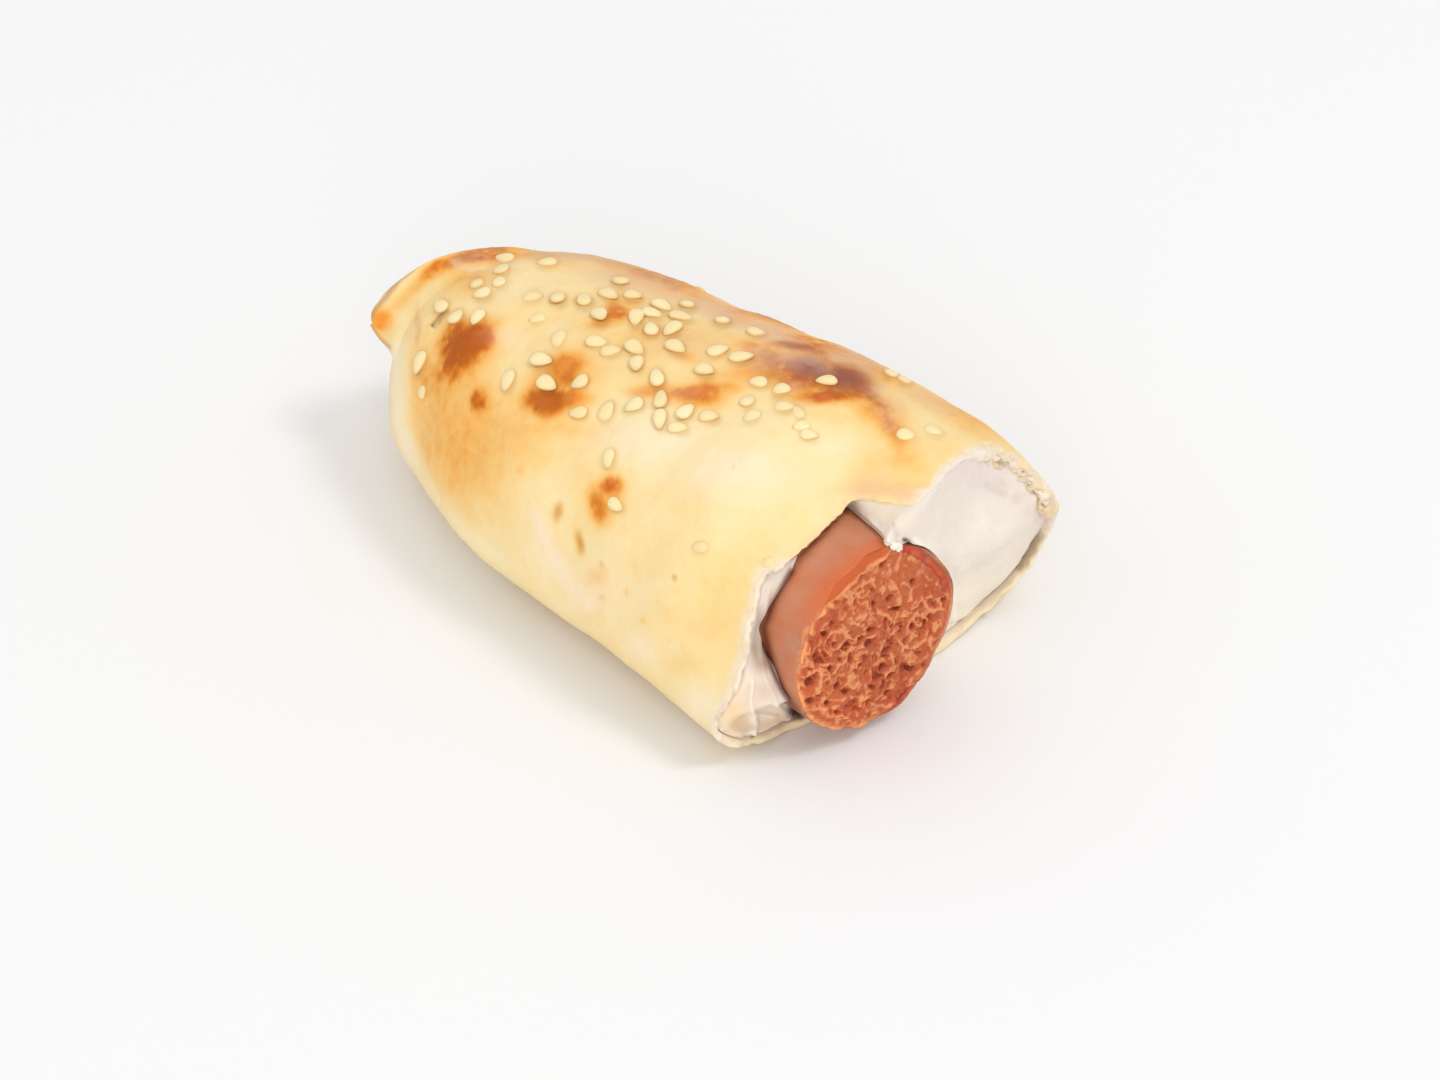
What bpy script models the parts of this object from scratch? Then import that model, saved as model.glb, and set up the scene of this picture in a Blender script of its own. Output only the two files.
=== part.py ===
"""Hot dog pie, one torn half: a baked dough wrap with a pinched brim at its closed end, a soft white
layer inside it, and a sausage that runs through both and stands out of the torn end.

Working frame, in millimetres: X runs along the sausage, with the sausage's torn face at X = 0 and the
closed end at negative X. The sausage's axis is Y = Z = 0 at the torn face. The pie rests on Z = FLOOR.
The finished part is moved so that the middle of its bounding box's underside is the origin.
"""
import bpy
import bmesh
import numpy as np

MM = 0.001

# ---------------------------------------------------------------- driving dimensions (mm)
SAUSAGE_R = 12.5          # radius of the sausage
SAUSAGE_END = -84.0       # its hidden rounded end
SAUSAGE_BEND = 3.4        # sideways drift of its axis towards the closed end
FACE_RELIEF = 0.55        # unevenness of its torn face
FLOOR = -14.6             # underside of the pie
X_BACK = -92.4            # closed end of the wrap
X_CAP = -72.0             # where the closed end starts to round off
SECTION_MID = -4.0        # height at which the cross-section is widest
WALL = 1.7                # thickness of the dough wrap
WALL_LIP = 1.1            # thickness at the torn lip
LIP_LENGTH = 5.0          # length over which the wrap thins to the lip
GAP = 0.3                 # clearance between touching pieces
HUG = 14.6                # radius of the wrap where it sags on to the sausage at the torn end
HOLLOW = 2.6              # depth of the hollow in the torn end's near corner
BRIM_THICK = 2.6          # pinched brim at the closed end: thickness at its root
BRIM_EDGE = 1.5           # thickness at its edge
BRIM_ROOT = 1.1           # depth of its root in the wrap
CENTRE = (-45.97, 8.29, FLOOR)   # point of the working frame that becomes the origin

# ---------------------------------------------------------------- resolution
N_CAP, N_LEN = 8, 16
DIRECTIONS = np.radians(np.concatenate([np.arange(62, 112, 5.0), np.linspace(112, 422, 36)[:-1]]))
N_AROUND = len(DIRECTIONS)
N_SAUSAGE, N_FACE = 34, 5

# cross-section along the length: X, near edge, far edge, top, upper exponent, lower exponent
SECTIONS = np.array([
    [-88.5, -9.4, 21.5, 13.1, 2.20, 2.40],
    [-80.0, -12.1, 26.0, 14.4, 2.20, 2.40],
    [-74.0, -13.4, 28.7, 15.4, 2.20, 2.50],
    [-66.0, -16.0, 31.0, 16.5, 2.15, 2.55],
    [-56.0, -18.2, 32.7, 17.5, 2.10, 2.60],
    [-44.0, -18.9, 34.3, 18.6, 2.10, 2.60],
    [-30.0, -18.9, 36.0, 19.7, 2.10, 2.70],
    [-18.0, -19.5, 36.5, 19.8, 2.15, 2.80],
    [-8.0, -20.6, 35.9, 18.9, 2.20, 2.80],
    [0.0, -21.3, 33.5, 17.6, 2.20, 2.80],
])
# torn lip of the wrap: direction in degrees (0 far side, 90 top, 180 near side), X
LIP = np.array([
    [-50, -8.2], [-35, -8.6], [-25, -7.8], [-12, -5.4], [5, -2.8], [15, -1.7], [25, -1.7], [33, -2.6],
    [42, -3.8], [52, -4.0], [62, -3.0], [74, -1.9], [80, -1.3], [85, -1.5], [88, -2.5], [91, -4.7],
    [94, -6.9], [97, -7.8], [104, -7.6], [112, -6.6], [122, -6.0], [130, -7.1], [138, -8.0],
    [146, -7.2], [158, -6.3], [170, -5.6], [180, -5.0], [192, -4.6], [204, -5.4], [216, -6.4],
    [232, -7.0], [250, -6.8], [266, -6.2], [280, -6.3], [296, -7.2], [310, -8.2], [325, -8.6],
    [335, -7.8], [348, -5.4], [365, -2.8], [375, -1.7]], float)
# front of the white layer where it meets the sausage: direction in degrees about the sausage, X
MEET = np.array([
    [-60, -6.4], [-40, -5.6], [-20, -3.8], [0, -2.4], [30, -1.1], [50, -0.7], [63, -0.9], [70, -3.2],
    [77, -8.0], [86, -10.6], [120, -9.2], [150, -8.0], [173, -5.8], [198, -4.4], [212, -6.4],
    [235, -7.6], [270, -7.2], [300, -6.4], [320, -5.6], [340, -3.8], [360, -2.4], [390, -1.1]], float)
# pinched brim: position along it 0..1, X of its root, direction of its root in degrees, height
BRIM = np.array([
    [0.00, -86.9, 152.0, 1.8], [0.08, -87.4, 145.0, 4.3], [0.22, -87.9, 132.0, 4.6],
    [0.40, -87.8, 115.0, 3.9], [0.60, -86.8, 98.0, 3.1], [0.80, -84.6, 82.0, 1.9],
    [1.00, -79.5, 66.0, 0.1]], float)


def curve(table, column, x):
    """Smooth curve through the rows of a table (cubic, slopes from the neighbours)."""
    xs, ys = table[:, 0], table[:, column]
    d = np.diff(ys) / np.diff(xs)
    m = np.concatenate([[d[0]], 0.5 * (d[:-1] + d[1:]), [d[-1]]])
    x = np.clip(x, xs[0], xs[-1])
    i = np.clip(np.searchsorted(xs, x, side="right") - 1, 0, len(xs) - 2)
    h = xs[i + 1] - xs[i]
    t = (x - xs[i]) / h
    return ((2 * t**3 - 3 * t**2 + 1) * ys[i] + (t**3 - 2 * t**2 + t) * h * m[i]
            + (3 * t**2 - 2 * t**3) * ys[i + 1] + (t**3 - t**2) * h * m[i + 1])


def ramp(a, b, x):
    t = np.clip((x - a) / (b - a), 0.0, 1.0)
    return t * t * (3 - 2 * t)


def lip_x(phi):
    return curve(LIP, 1, np.degrees(phi) % 360)


def unevenness(x, phi):
    """Low swells of the baked surface, in millimetres."""
    return (0.12 * np.sin(0.21 * x + 2 * phi + 0.6) + 0.10 * np.sin(0.37 * x - 3 * phi + 2.1)
            + 0.08 * np.sin(0.55 * x + 5 * phi + 4.0))


def wrap_point(x, phi):
    """Outside of the wrap at X = x in direction phi: Y and Z."""
    near, far, top, pu, pl = (curve(SECTIONS, c, x) for c in range(1, 6))
    q = np.clip((X_CAP - x) / (X_CAP - X_BACK), 0, 1)
    k = np.sqrt(np.maximum(1 - q**2.6, 0)) ** (2 / 2.2)
    half = 0.5 * (far - near)
    c, s = np.cos(phi), np.sin(phi)
    p = np.where(s > 0, pu, pl)
    rise = np.where(s > 0, top - SECTION_MID, SECTION_MID - (FLOOR - 0.8))
    swell = unevenness(x, phi) * ramp(-0.6, 0.1, s) * k
    y = 0.5 * (near + far) + (half * k + swell) * np.sign(c) * np.abs(c) ** (2 / p)
    z = SECTION_MID + (1 - k) + (rise * k + swell) * np.sign(s) * np.abs(s) ** (2 / p)
    # rounded over on to a flat underside
    z = FLOOR + 0.5 * ((z - FLOOR) + np.sqrt((z - FLOOR) ** 2 + 1.44))
    z = np.maximum(z - 0.34 * np.exp(-((z - FLOOR) / 2.0) ** 2), FLOOR)
    # towards the torn end the wrap sags on to the near and upper side of the sausage
    rho = np.hypot(y, z)
    psi = np.degrees(np.arctan2(z, y)) % 360
    w = ramp(-21, -7, x) * ramp(52, 84, psi) * (1 - ramp(168, 208, psi))
    hug = HUG + 1.6 * ramp(130, 190, psi)
    r = rho + w * 0.92 * np.minimum(hug - rho, 0)
    return y * r / np.maximum(rho, 1e-6), z * r / np.maximum(rho, 1e-6)


def stations(front):
    """X of the cross-sections from the closed end's pole to `front`."""
    cap = X_CAP - (X_CAP - X_BACK) * np.cos(np.arange(1, N_CAP) / N_CAP * np.pi / 2)
    t = np.linspace(0, 1, N_LEN + 1)
    body = X_CAP + (front - X_CAP) * (0.25 * t + 0.75 * (1 - (1 - t) ** 1.35))
    return np.concatenate([cap, body])


def wrap_rings(front):
    """Rings of points on the outside of the wrap; `front` is a function of the direction."""
    phi = DIRECTIONS
    rings = np.zeros((N_CAP - 1 + N_LEN + 1, N_AROUND, 3))
    for j, f in enumerate(phi):
        x = stations(front(f))
        y, z = wrap_point(x, np.full_like(x, f))
        rings[:, j] = np.stack([x, y, z], 1)
    return rings, phi


def pole_point():
    y, z = wrap_point(np.array([X_BACK]), np.array([0.0]))
    return np.array([X_BACK, y[0], z[0]])


def wall_at(x, phi):
    """Thickness of the wrap, thinner at its torn lip."""
    return WALL_LIP + (WALL - WALL_LIP) * ramp(0.0, LIP_LENGTH, lip_x(phi) - x)


# ---------------------------------------------------------------- mesh helpers
def to_world(points):
    return (np.asarray(points, float) - np.array(CENTRE)) * MM


def add_object(name, points, faces, collection):
    mesh = bpy.data.meshes.new(name)
    mesh.from_pydata([tuple(p) for p in to_world(points)], [], faces)
    bm = bmesh.new()
    bm.from_mesh(mesh)
    bmesh.ops.recalc_face_normals(bm, faces=bm.faces)
    bm.to_mesh(mesh)
    bm.free()
    mesh.update()
    obj = bpy.data.objects.new(name, mesh)
    collection.objects.link(obj)
    return obj


def loft_faces(n_rings, n_around, first=0):
    faces = []
    for i in range(n_rings - 1):
        for j in range(n_around):
            k = (j + 1) % n_around
            a, b = first + i * n_around, first + (i + 1) * n_around
            faces.append((a + j, a + k, b + k, b + j))
    return faces


def fan(pole, start, n_around):
    return [(pole, start + (j + 1) % n_around, start + j) for j in range(n_around)]


def boolean(obj, other, operation):
    mod = obj.modifiers.new(operation.lower() + "_" + other.name, "BOOLEAN")
    mod.operation = operation
    mod.solver = "EXACT"
    mod.object = other
    other.hide_render = True
    other.display_type = "WIRE"
    return mod


def material(name, colour, roughness, subsurface=0.0):
    mat = bpy.data.materials.new(name)
    mat.use_nodes = True
    shader = mat.node_tree.nodes["Principled BSDF"]
    shader.inputs["Base Color"].default_value = (*colour, 1.0)
    shader.inputs["Roughness"].default_value = roughness
    shader.inputs["Subsurface Weight"].default_value = subsurface
    mat.diffuse_color = (*colour, 1.0)
    return mat


# ---------------------------------------------------------------- clear the scene
for old in list(bpy.data.objects):
    bpy.data.objects.remove(old, do_unlink=True)

parts = bpy.data.collections.new("hot_dog_pie")
cutters = bpy.data.collections.new("cutters")
bpy.context.scene.collection.children.link(parts)
bpy.context.scene.collection.children.link(cutters)

# ---------------------------------------------------------------- dough wrap
rings, phi = wrap_rings(lip_x)
n_rings = len(rings)
points = np.concatenate([pole_point()[None], rings.reshape(-1, 3)])
faces = fan(0, 1, N_AROUND) + loft_faces(n_rings, N_AROUND, 1)
dough = add_object("dough_wrap", points, faces, parts)
bm = bmesh.new()
bm.from_mesh(dough.data)
bm.faces.ensure_lookup_table()
pole_face = bm.faces[0]
if pole_face.normal.x > 0:                      # the open sheet faces outwards
    bmesh.ops.reverse_faces(bm, faces=bm.faces)
bm.to_mesh(dough.data)
bm.free()
group = dough.vertex_groups.new(name="thickness")
for v in range(len(points)):
    if v == 0:
        group.add([v], 1.0, "REPLACE")
    else:
        i, j = divmod(v - 1, N_AROUND)
        group.add([v], float(wall_at(rings[i, j, 0], phi[j]) / WALL), "REPLACE")
shell = dough.modifiers.new("wall", "SOLIDIFY")
shell.thickness = WALL * MM
shell.offset = -1.0
shell.use_even_offset = True
shell.use_rim = True
shell.vertex_group = "thickness"

# ---------------------------------------------------------------- pinched brim at the closed end


def brim_solid(n_along=22, n_round=10):
    s = np.linspace(0, 1, n_along)
    x = curve(BRIM, 1, s)
    f = np.radians(curve(BRIM, 2, s))
    height = np.maximum(curve(BRIM, 3, s), 0.05)
    y, z = wrap_point(x, f)
    root = np.stack([x, y, z], 1)
    e = 1e-3
    ya, za = wrap_point(x + e, f)
    yb, zb = wrap_point(x, f + e)
    du = np.stack([np.full_like(x, e), ya - y, za - z], 1)
    dv = np.stack([np.zeros_like(x), yb - y, zb - z], 1)
    out = np.cross(dv, du)
    out /= np.linalg.norm(out, axis=1, keepdims=True)
    out *= np.sign(out[:, :1] * -1.0)           # away from the pie, that is towards -X
    along = np.gradient(root, axis=0)
    along /= np.linalg.norm(along, axis=1, keepdims=True)
    across = np.cross(out, along)
    across /= np.linalg.norm(across, axis=1, keepdims=True)
    rows = []
    for i in range(n_along):
        taper = 0.55 + 0.45 * float(ramp(0.0, 0.06, s[i]) * (1 - ramp(0.72, 1.0, s[i])))
        section = []
        h = height[i]
        for a in range(n_round):
            t = 2 * np.pi * a / n_round
            up = 0.5 - 0.5 * np.cos(t)          # 0 at the root, 1 at the edge
            up = np.clip((up - 0.02) / 0.96, 0, 1)
            thick = (BRIM_THICK + (BRIM_EDGE - BRIM_THICK) * up) * taper
            wave = 0.35 * np.sin(9.0 * s[i] + 1.0) * up
            fillet = 1.0 + 0.9 * (1 - up) ** 2 * (np.sin(t) > 0)
            side = 0.5 * thick * fillet * np.sign(np.sin(t)) * np.abs(np.sin(t)) ** 0.45 + wave
            section.append(root[i] + out[i] * (-BRIM_ROOT + (h + BRIM_ROOT) * up) + across[i] * side)
        rows.append(section)
    pts = np.array(rows).reshape(-1, 3)
    fcs = loft_faces(n_along, n_round)
    fcs.append(tuple(range(n_round)))
    fcs.append(tuple(range((n_along - 1) * n_round, n_along * n_round)))
    return pts, fcs


brim_points, brim_faces = brim_solid()
brim = add_object("brim_tool", brim_points, brim_faces, cutters)
boolean(dough, brim, "UNION")

# ---------------------------------------------------------------- sausage


def sausage_axis(x):
    """Sideways position of the sausage's axis."""
    return SAUSAGE_BEND * ramp(-20.0, -84.0, x)


def sausage_radius(x, psi, grow=0.0):
    end = SAUSAGE_END - grow
    d = np.clip((x - end) / (SAUSAGE_R + grow), 0, 1)
    r = (SAUSAGE_R + grow) * np.sqrt(np.maximum(1 - (1 - d) ** 2.2, 0))
    return r


def face_height(rho, psi):
    """Relief of the sausage's torn face, X against radius and direction."""
    q = rho / SAUSAGE_R
    bumps = (0.5 * np.sin(0.9 * rho * np.cos(psi) + 1.3) * np.cos(0.8 * rho * np.sin(psi) - 0.4)
             + 0.5 * np.sin(0.55 * rho * np.sin(psi + 0.9) + 0.7))
    rim = 0.35 * np.sin(3 * psi + 0.5) + 0.25 * np.sin(5 * psi + 2.0)
    return FACE_RELIEF * (bumps * (1 - 0.5 * q**2) + rim * q**3) - 0.5 * q**6


def sausage_solid(grow=0.0, front=None):
    psi = np.arange(N_SAUSAGE) / N_SAUSAGE * 2 * np.pi
    end = SAUSAGE_END - grow
    nose = end + (SAUSAGE_R + grow) * (1 - np.cos(np.arange(1, 7) / 6 * np.pi / 2))
    body = np.linspace(nose[-1], -1.6, 10)[1:]
    pts = [np.array([[end, sausage_axis(end), 0.0]])]
    for x in np.concatenate([nose, body]):
        r = sausage_radius(x, psi, grow)
        pts.append(np.stack([np.full_like(psi, x), sausage_axis(x) + r * np.cos(psi), r * np.sin(psi)], 1))
    n = len(pts) - 1
    if front is not None:                       # plain cylinder out to `front`
        r = SAUSAGE_R + grow
        pts.append(np.stack([np.full_like(psi, front), r * np.cos(psi), r * np.sin(psi)], 1))
        n += 1
        fcs = fan(0, 1, N_SAUSAGE) + loft_faces(n, N_SAUSAGE, 1)
        fcs.append(tuple(1 + (n - 1) * N_SAUSAGE + j for j in range(N_SAUSAGE)))
        return np.concatenate(pts), fcs
    for q in np.linspace(1.0, 0.0, N_FACE + 1)[:-1]:
        rho = SAUSAGE_R * q * (0.985 if q == 1.0 else 1.0)
        pts.append(np.stack([face_height(rho, psi), rho * np.cos(psi), rho * np.sin(psi)], 1))
        n += 1
    total = sum(len(p) for p in pts)
    pts.append(np.array([[float(face_height(0.0, 0.0)), 0.0, 0.0]]))
    fcs = fan(0, 1, N_SAUSAGE) + loft_faces(n, N_SAUSAGE, 1)
    last = 1 + (n - 1) * N_SAUSAGE
    fcs += [(total, last + j, last + (j + 1) % N_SAUSAGE) for j in range(N_SAUSAGE)]
    return np.concatenate(pts), fcs


sausage_points, sausage_faces = sausage_solid()
sausage = add_object("sausage", sausage_points, sausage_faces, parts)

# ---------------------------------------------------------------- white layer
FRONT = 3.0
rings, phi = wrap_rings(lambda f: FRONT)
points = np.concatenate([pole_point()[None], rings.reshape(-1, 3)])
n_rings = len(rings)
last = 1 + (n_rings - 1) * N_AROUND
faces = fan(0, 1, N_AROUND) + loft_faces(n_rings, N_AROUND, 1)
faces.append(tuple(last + j for j in range(N_AROUND)))
white = add_object("white_filling", points, faces, parts)
bm = bmesh.new()
bm.from_mesh(white.data)
bm.verts.ensure_lookup_table()
bm.normal_update()
moves = []
for v in range(len(points)):
    n = bm.verts[v].normal.copy()
    if v >= last:
        n.x = 0.0
        n.normalize()
    if v == 0:
        depth = WALL + GAP
    else:
        i, j = divmod(v - 1, N_AROUND)
        depth = float(wall_at(rings[i, j, 0], phi[j])) + GAP
    sharp = bm.verts[v].calc_shell_factor() if v < last else 1.0
    moves.append(-n * depth * MM * min(sharp, 1.2))
for v, m in zip(bm.verts, moves):
    v.co += m
bm.to_mesh(white.data)
bm.free()

lip_phi = np.linspace(0, 2 * np.pi, 361)[:-1]
lip_xs = lip_x(lip_phi)
lip_y, lip_z = wrap_point(lip_xs, lip_phi)
lip_psi = np.unwrap(np.arctan2(lip_z, lip_y))
lip_rho = np.hypot(lip_y, lip_z)
lip_table = np.stack([np.degrees(lip_psi), lip_rho, lip_xs], 1)
lip_table = lip_table[np.argsort(lip_table[:, 0])]
lip_table = np.concatenate([lip_table + [-360, 0, 0], lip_table, lip_table + [360, 0, 0]])


def filling_front(rho, psi_deg):
    """X of the white layer's torn front at a radius and direction about the sausage."""
    reach = np.interp(psi_deg, lip_table[:, 0], lip_table[:, 1]) - WALL_LIP
    near_top = ramp(25, 45, psi_deg % 360) * (1 - ramp(85, 100, psi_deg % 360))
    at_lip = np.interp(psi_deg, lip_table[:, 0], lip_table[:, 2]) - 0.7 + 0.6 * near_top
    meet = curve(MEET, 1, (psi_deg + 60) % 360 - 60)
    r0 = SAUSAGE_R + GAP
    t = np.clip((rho - r0) / np.maximum(reach - r0, 1.5), 0, 1)
    ripple = 0.25 * np.sin(0.33 * rho + 0.05 * psi_deg) * np.sin(np.pi * t)
    # a hollow in the lower near corner of the torn end
    ripple = ripple - HOLLOW * np.sin(np.pi * t) * np.exp(-(((psi_deg % 360) - 214) / 16.0) ** 2)
    return meet + (at_lip - meet) * t**1.2 + ripple


def front_cutter():
    radii = np.array([9.0, 12.0, 13.2, 14.6, 16.5, 19.5, 23.5, 28.0, 33.0, 38.0, 48.0])
    # directions closer together where the front drops away beside the sausage's top
    psi = np.concatenate([np.arange(50, 92, 3.5), np.linspace(92, 410, 39)[:-1]])
    n_dir = len(psi)
    rows = []
    for r in radii:
        x = filling_front(np.full(n_dir, r), psi)
        rows.append(np.stack([x, r * np.cos(np.radians(psi)), r * np.sin(np.radians(psi))], 1))
    rows.append(np.stack([np.full(n_dir, 12.0), 48 * np.cos(np.radians(psi)), 48 * np.sin(np.radians(psi))], 1))
    pts = np.concatenate([np.array([[-4.0, 0.0, 0.0]])] + rows + [np.array([[12.0, 0.0, 0.0]])])
    n = len(rows)
    end = len(pts) - 1
    fcs = fan(0, 1, n_dir) + loft_faces(n, n_dir, 1)
    fcs += [(end, 1 + (n - 1) * n_dir + j, 1 + (n - 1) * n_dir + (j + 1) % n_dir) for j in range(n_dir)]
    return pts, fcs


bore_points, bore_faces = sausage_solid(grow=GAP, front=8.0)
bore = add_object("bore_tool", bore_points, bore_faces, cutters)
tear_points, tear_faces = front_cutter()
tear = add_object("tear_tool", tear_points, tear_faces, cutters)
boolean(white, tear, "DIFFERENCE")
boolean(white, bore, "DIFFERENCE")

# ---------------------------------------------------------------- looks
for obj, mat in ((dough, material("dough", (0.86, 0.62, 0.33), 0.6, 0.1)),
                 (white, material("filling", (0.90, 0.82, 0.72), 0.55, 0.2)),
                 (sausage, material("sausage", (0.56, 0.16, 0.06), 0.42, 0.1))):
    obj.data.materials.clear()
    obj.data.materials.append(mat)
    for polygon in obj.data.polygons:
        polygon.use_smooth = True
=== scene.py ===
import bpy
import numpy as np
from mathutils import Matrix, Vector
from mathutils.bvhtree import BVHTree


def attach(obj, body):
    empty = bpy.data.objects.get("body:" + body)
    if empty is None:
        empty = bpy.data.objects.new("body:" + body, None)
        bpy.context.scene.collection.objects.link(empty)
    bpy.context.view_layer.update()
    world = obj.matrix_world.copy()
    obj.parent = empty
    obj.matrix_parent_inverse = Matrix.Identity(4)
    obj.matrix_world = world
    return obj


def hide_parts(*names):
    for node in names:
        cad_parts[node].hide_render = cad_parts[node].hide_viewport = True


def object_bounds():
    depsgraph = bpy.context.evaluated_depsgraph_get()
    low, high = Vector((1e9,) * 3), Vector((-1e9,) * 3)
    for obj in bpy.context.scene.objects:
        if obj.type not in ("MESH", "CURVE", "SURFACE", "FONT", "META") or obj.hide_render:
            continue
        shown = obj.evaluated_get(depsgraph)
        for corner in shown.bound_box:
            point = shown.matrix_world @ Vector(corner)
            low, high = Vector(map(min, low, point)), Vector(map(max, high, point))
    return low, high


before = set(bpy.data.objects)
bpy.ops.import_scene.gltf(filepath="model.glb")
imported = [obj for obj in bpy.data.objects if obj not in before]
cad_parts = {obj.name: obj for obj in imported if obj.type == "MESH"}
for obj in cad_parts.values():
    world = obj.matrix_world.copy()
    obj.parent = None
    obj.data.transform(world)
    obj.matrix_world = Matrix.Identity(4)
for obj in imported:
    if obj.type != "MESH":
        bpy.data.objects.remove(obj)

cad_lo, cad_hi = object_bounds()

MM = 0.001
# ---------------------------------------------------------------- dimensions shared with the CAD (mm)
SAUSAGE_R = 12.5
SAUSAGE_END = -84.0
SAUSAGE_BEND = 3.4
FACE_RELIEF = 0.55
FLOOR = -14.6
X_BACK = -92.4
X_CAP = -72.0
SECTION_MID = -4.0
WALL = 1.7
WALL_LIP = 1.1
LIP_LENGTH = 5.0
GAP = 0.3
HUG = 14.6
HOLLOW = 1.6
CENTRE = np.array((-45.97, 8.29, FLOOR))

# X, near edge, far edge, top, upper exponent, lower exponent of the wrap's cross-section
SECTIONS = np.array([
    [-88.5, -9.4, 21.5, 13.1, 2.20, 2.40],
    [-80.0, -12.1, 26.0, 14.4, 2.20, 2.40],
    [-74.0, -13.4, 28.7, 15.4, 2.20, 2.50],
    [-66.0, -16.0, 31.0, 16.5, 2.15, 2.55],
    [-56.0, -18.2, 32.7, 17.5, 2.10, 2.60],
    [-44.0, -18.9, 34.3, 18.6, 2.10, 2.60],
    [-30.0, -18.9, 36.0, 19.7, 2.10, 2.70],
    [-18.0, -19.5, 36.5, 19.8, 2.15, 2.80],
    [-8.0, -20.6, 35.9, 18.9, 2.20, 2.80],
    [0.0, -21.3, 33.5, 17.6, 2.20, 2.80],
])
# torn lip of the wrap: direction in degrees (0 far side, 90 top, 180 near side), X
LIP = np.array([
    [-50, -7.7], [-42, -7.55], [-35, -7.35], [-30, -7.15], [-25, -6.9], [-18, -6.6], [-12, -6.35], [-5, -5.95], [0, -5.2], [5, -4.1],
    [10, -2.9], [15, -1.95], [25, -1.7], [33, -2.6],
    [42, -3.8], [52, -4.4], [60, -3.9], [68, -3.4], [74, -2.6], [79, -1.8], [82.5, -1.3], [85, -1.4],
    [87, -1.8], [88.5, -2.8], [90, -4.4], [91.2, -6.0], [92.3, -7.3], [93.6, -8.1], [95.5, -8.5], [98.5, -8.2],
    [103, -7.65], [109, -7.25], [114, -7.0], [119, -6.75], [124, -6.65], [128, -6.9],
    [137, -8.0], [146, -6.9], [158, -6.2], [168, -5.5], [175, -5.1], [181, -6.0], [187, -6.9], [195, -7.1],
    [205, -6.8], [216, -6.6],
    [232, -7.0], [250, -6.8], [266, -6.2], [280, -6.3], [296, -7.2], [310, -7.7], [318, -7.55], [325, -7.35],
    [330, -7.15], [335, -6.9], [342, -6.6], [348, -6.35], [355, -5.95], [360, -5.2], [365, -4.1], [370, -2.9], [375, -1.95]], float)
# front of the white layer where it meets the sausage: direction in degrees about the sausage, X
MEET = np.array([
    [-60, -6.4], [-40, -5.6], [-20, -3.8], [0, -2.4], [30, -1.1], [50, -0.7], [63, -0.9], [70, -1.2], [74, -3.2],
    [80, -8.6], [86, -11.0], [104, -10.0], [120, -7.7], [128, -6.9], [145, -7.0], [157, -7.6], [165, -7.6], [173, -6.0],
    [181, -4.35], [194, -3.2], [202, -2.6], [210, -5.8],
    [235, -7.6], [270, -7.2], [300, -6.4], [320, -5.6], [340, -3.8], [360, -2.4], [390, -1.1]], float)
# where the crust has opened over the sausage: direction of the layer's outer edge, then the foot of its torn front
# (direction about the sausage, X) and the rolled edge above that foot (direction, X, radius)
OPENING = np.array([
    [76.0, 50.8, -0.55, 52.0, -0.55, 12.7], [79.0, 54.5, -0.55, 56.0, -0.55, 12.7],
    [82.0, 60.0, -0.55, 61.5, -0.55, 12.7], [84.5, 66.5, -0.55, 68.0, -0.55, 12.7],
    [86.0, 71.5, -0.60, 73.0, -0.55, 12.7], [87.3, 75.5, -0.70, 78.0, -0.55, 12.9],
    [88.3, 77.5, -1.20, 81.0, -0.70, 13.3], [89.2, 75.0, -2.70, 78.3, -2.00, 13.4],
    [90.2, 73.0, -3.90, 76.2, -3.20, 13.4], [91.2, 71.5, -5.30, 74.8, -4.60, 13.4],
    [92.2, 70.0, -6.80, 73.2, -6.10, 13.4], [93.3, 68.3, -8.30, 71.5, -7.60, 13.35],
    [94.6, 66.5, -9.80, 69.5, -9.00, 13.3], [96.0, 66.0, -11.0, 68.5, -10.0, 13.2],
    [98.0, 69.0, -12.0, 70.0, -11.0, 13.0], [101.0, 77.0, -12.3, 78.0, -12.0, 13.0],
    [105.0, 87.0, -11.8, 88.0, -11.6, 13.0], [110.0, 98.0, -10.6, 99.0, -10.4, 13.0],
    [115.0, 107.0, -9.3, 108.0, -9.1, 13.0], [121.0, 116.7, -7.9, 117.0, -7.8, 13.0],
    [128.0, 126.3, -6.9, 126.5, -6.8, 13.0]], float)
# direction about the sausage that the same columns reach 16 mm behind the torn face
BEHIND = np.array([
    [76.0, 50.0], [79.0, 52.0], [82.0, 54.0], [84.5, 55.5], [86.0, 56.5], [87.3, 57.5], [88.3, 58.3], [89.2, 59.3],
    [90.2, 60.6], [91.2, 61.6], [92.2, 62.6], [93.3, 63.6], [94.6, 64.8], [96.0, 66.0], [98.0, 70.0], [101.0, 77.5],
    [105.0, 87.0], [110.0, 98.0], [115.0, 107.0], [121.0, 116.7], [128.0, 126.3]], float)
# pinched brim: position along it 0..1, X of its root, direction of its root in degrees, height
BRIM = np.array([
    [0.00, -86.9, 152.0, 1.8], [0.08, -87.4, 145.0, 4.3], [0.22, -87.9, 132.0, 4.6],
    [0.40, -87.8, 115.0, 3.9], [0.60, -86.8, 98.0, 3.1], [0.80, -84.6, 82.0, 1.9],
    [1.00, -79.5, 66.0, 0.1]], float)


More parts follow.
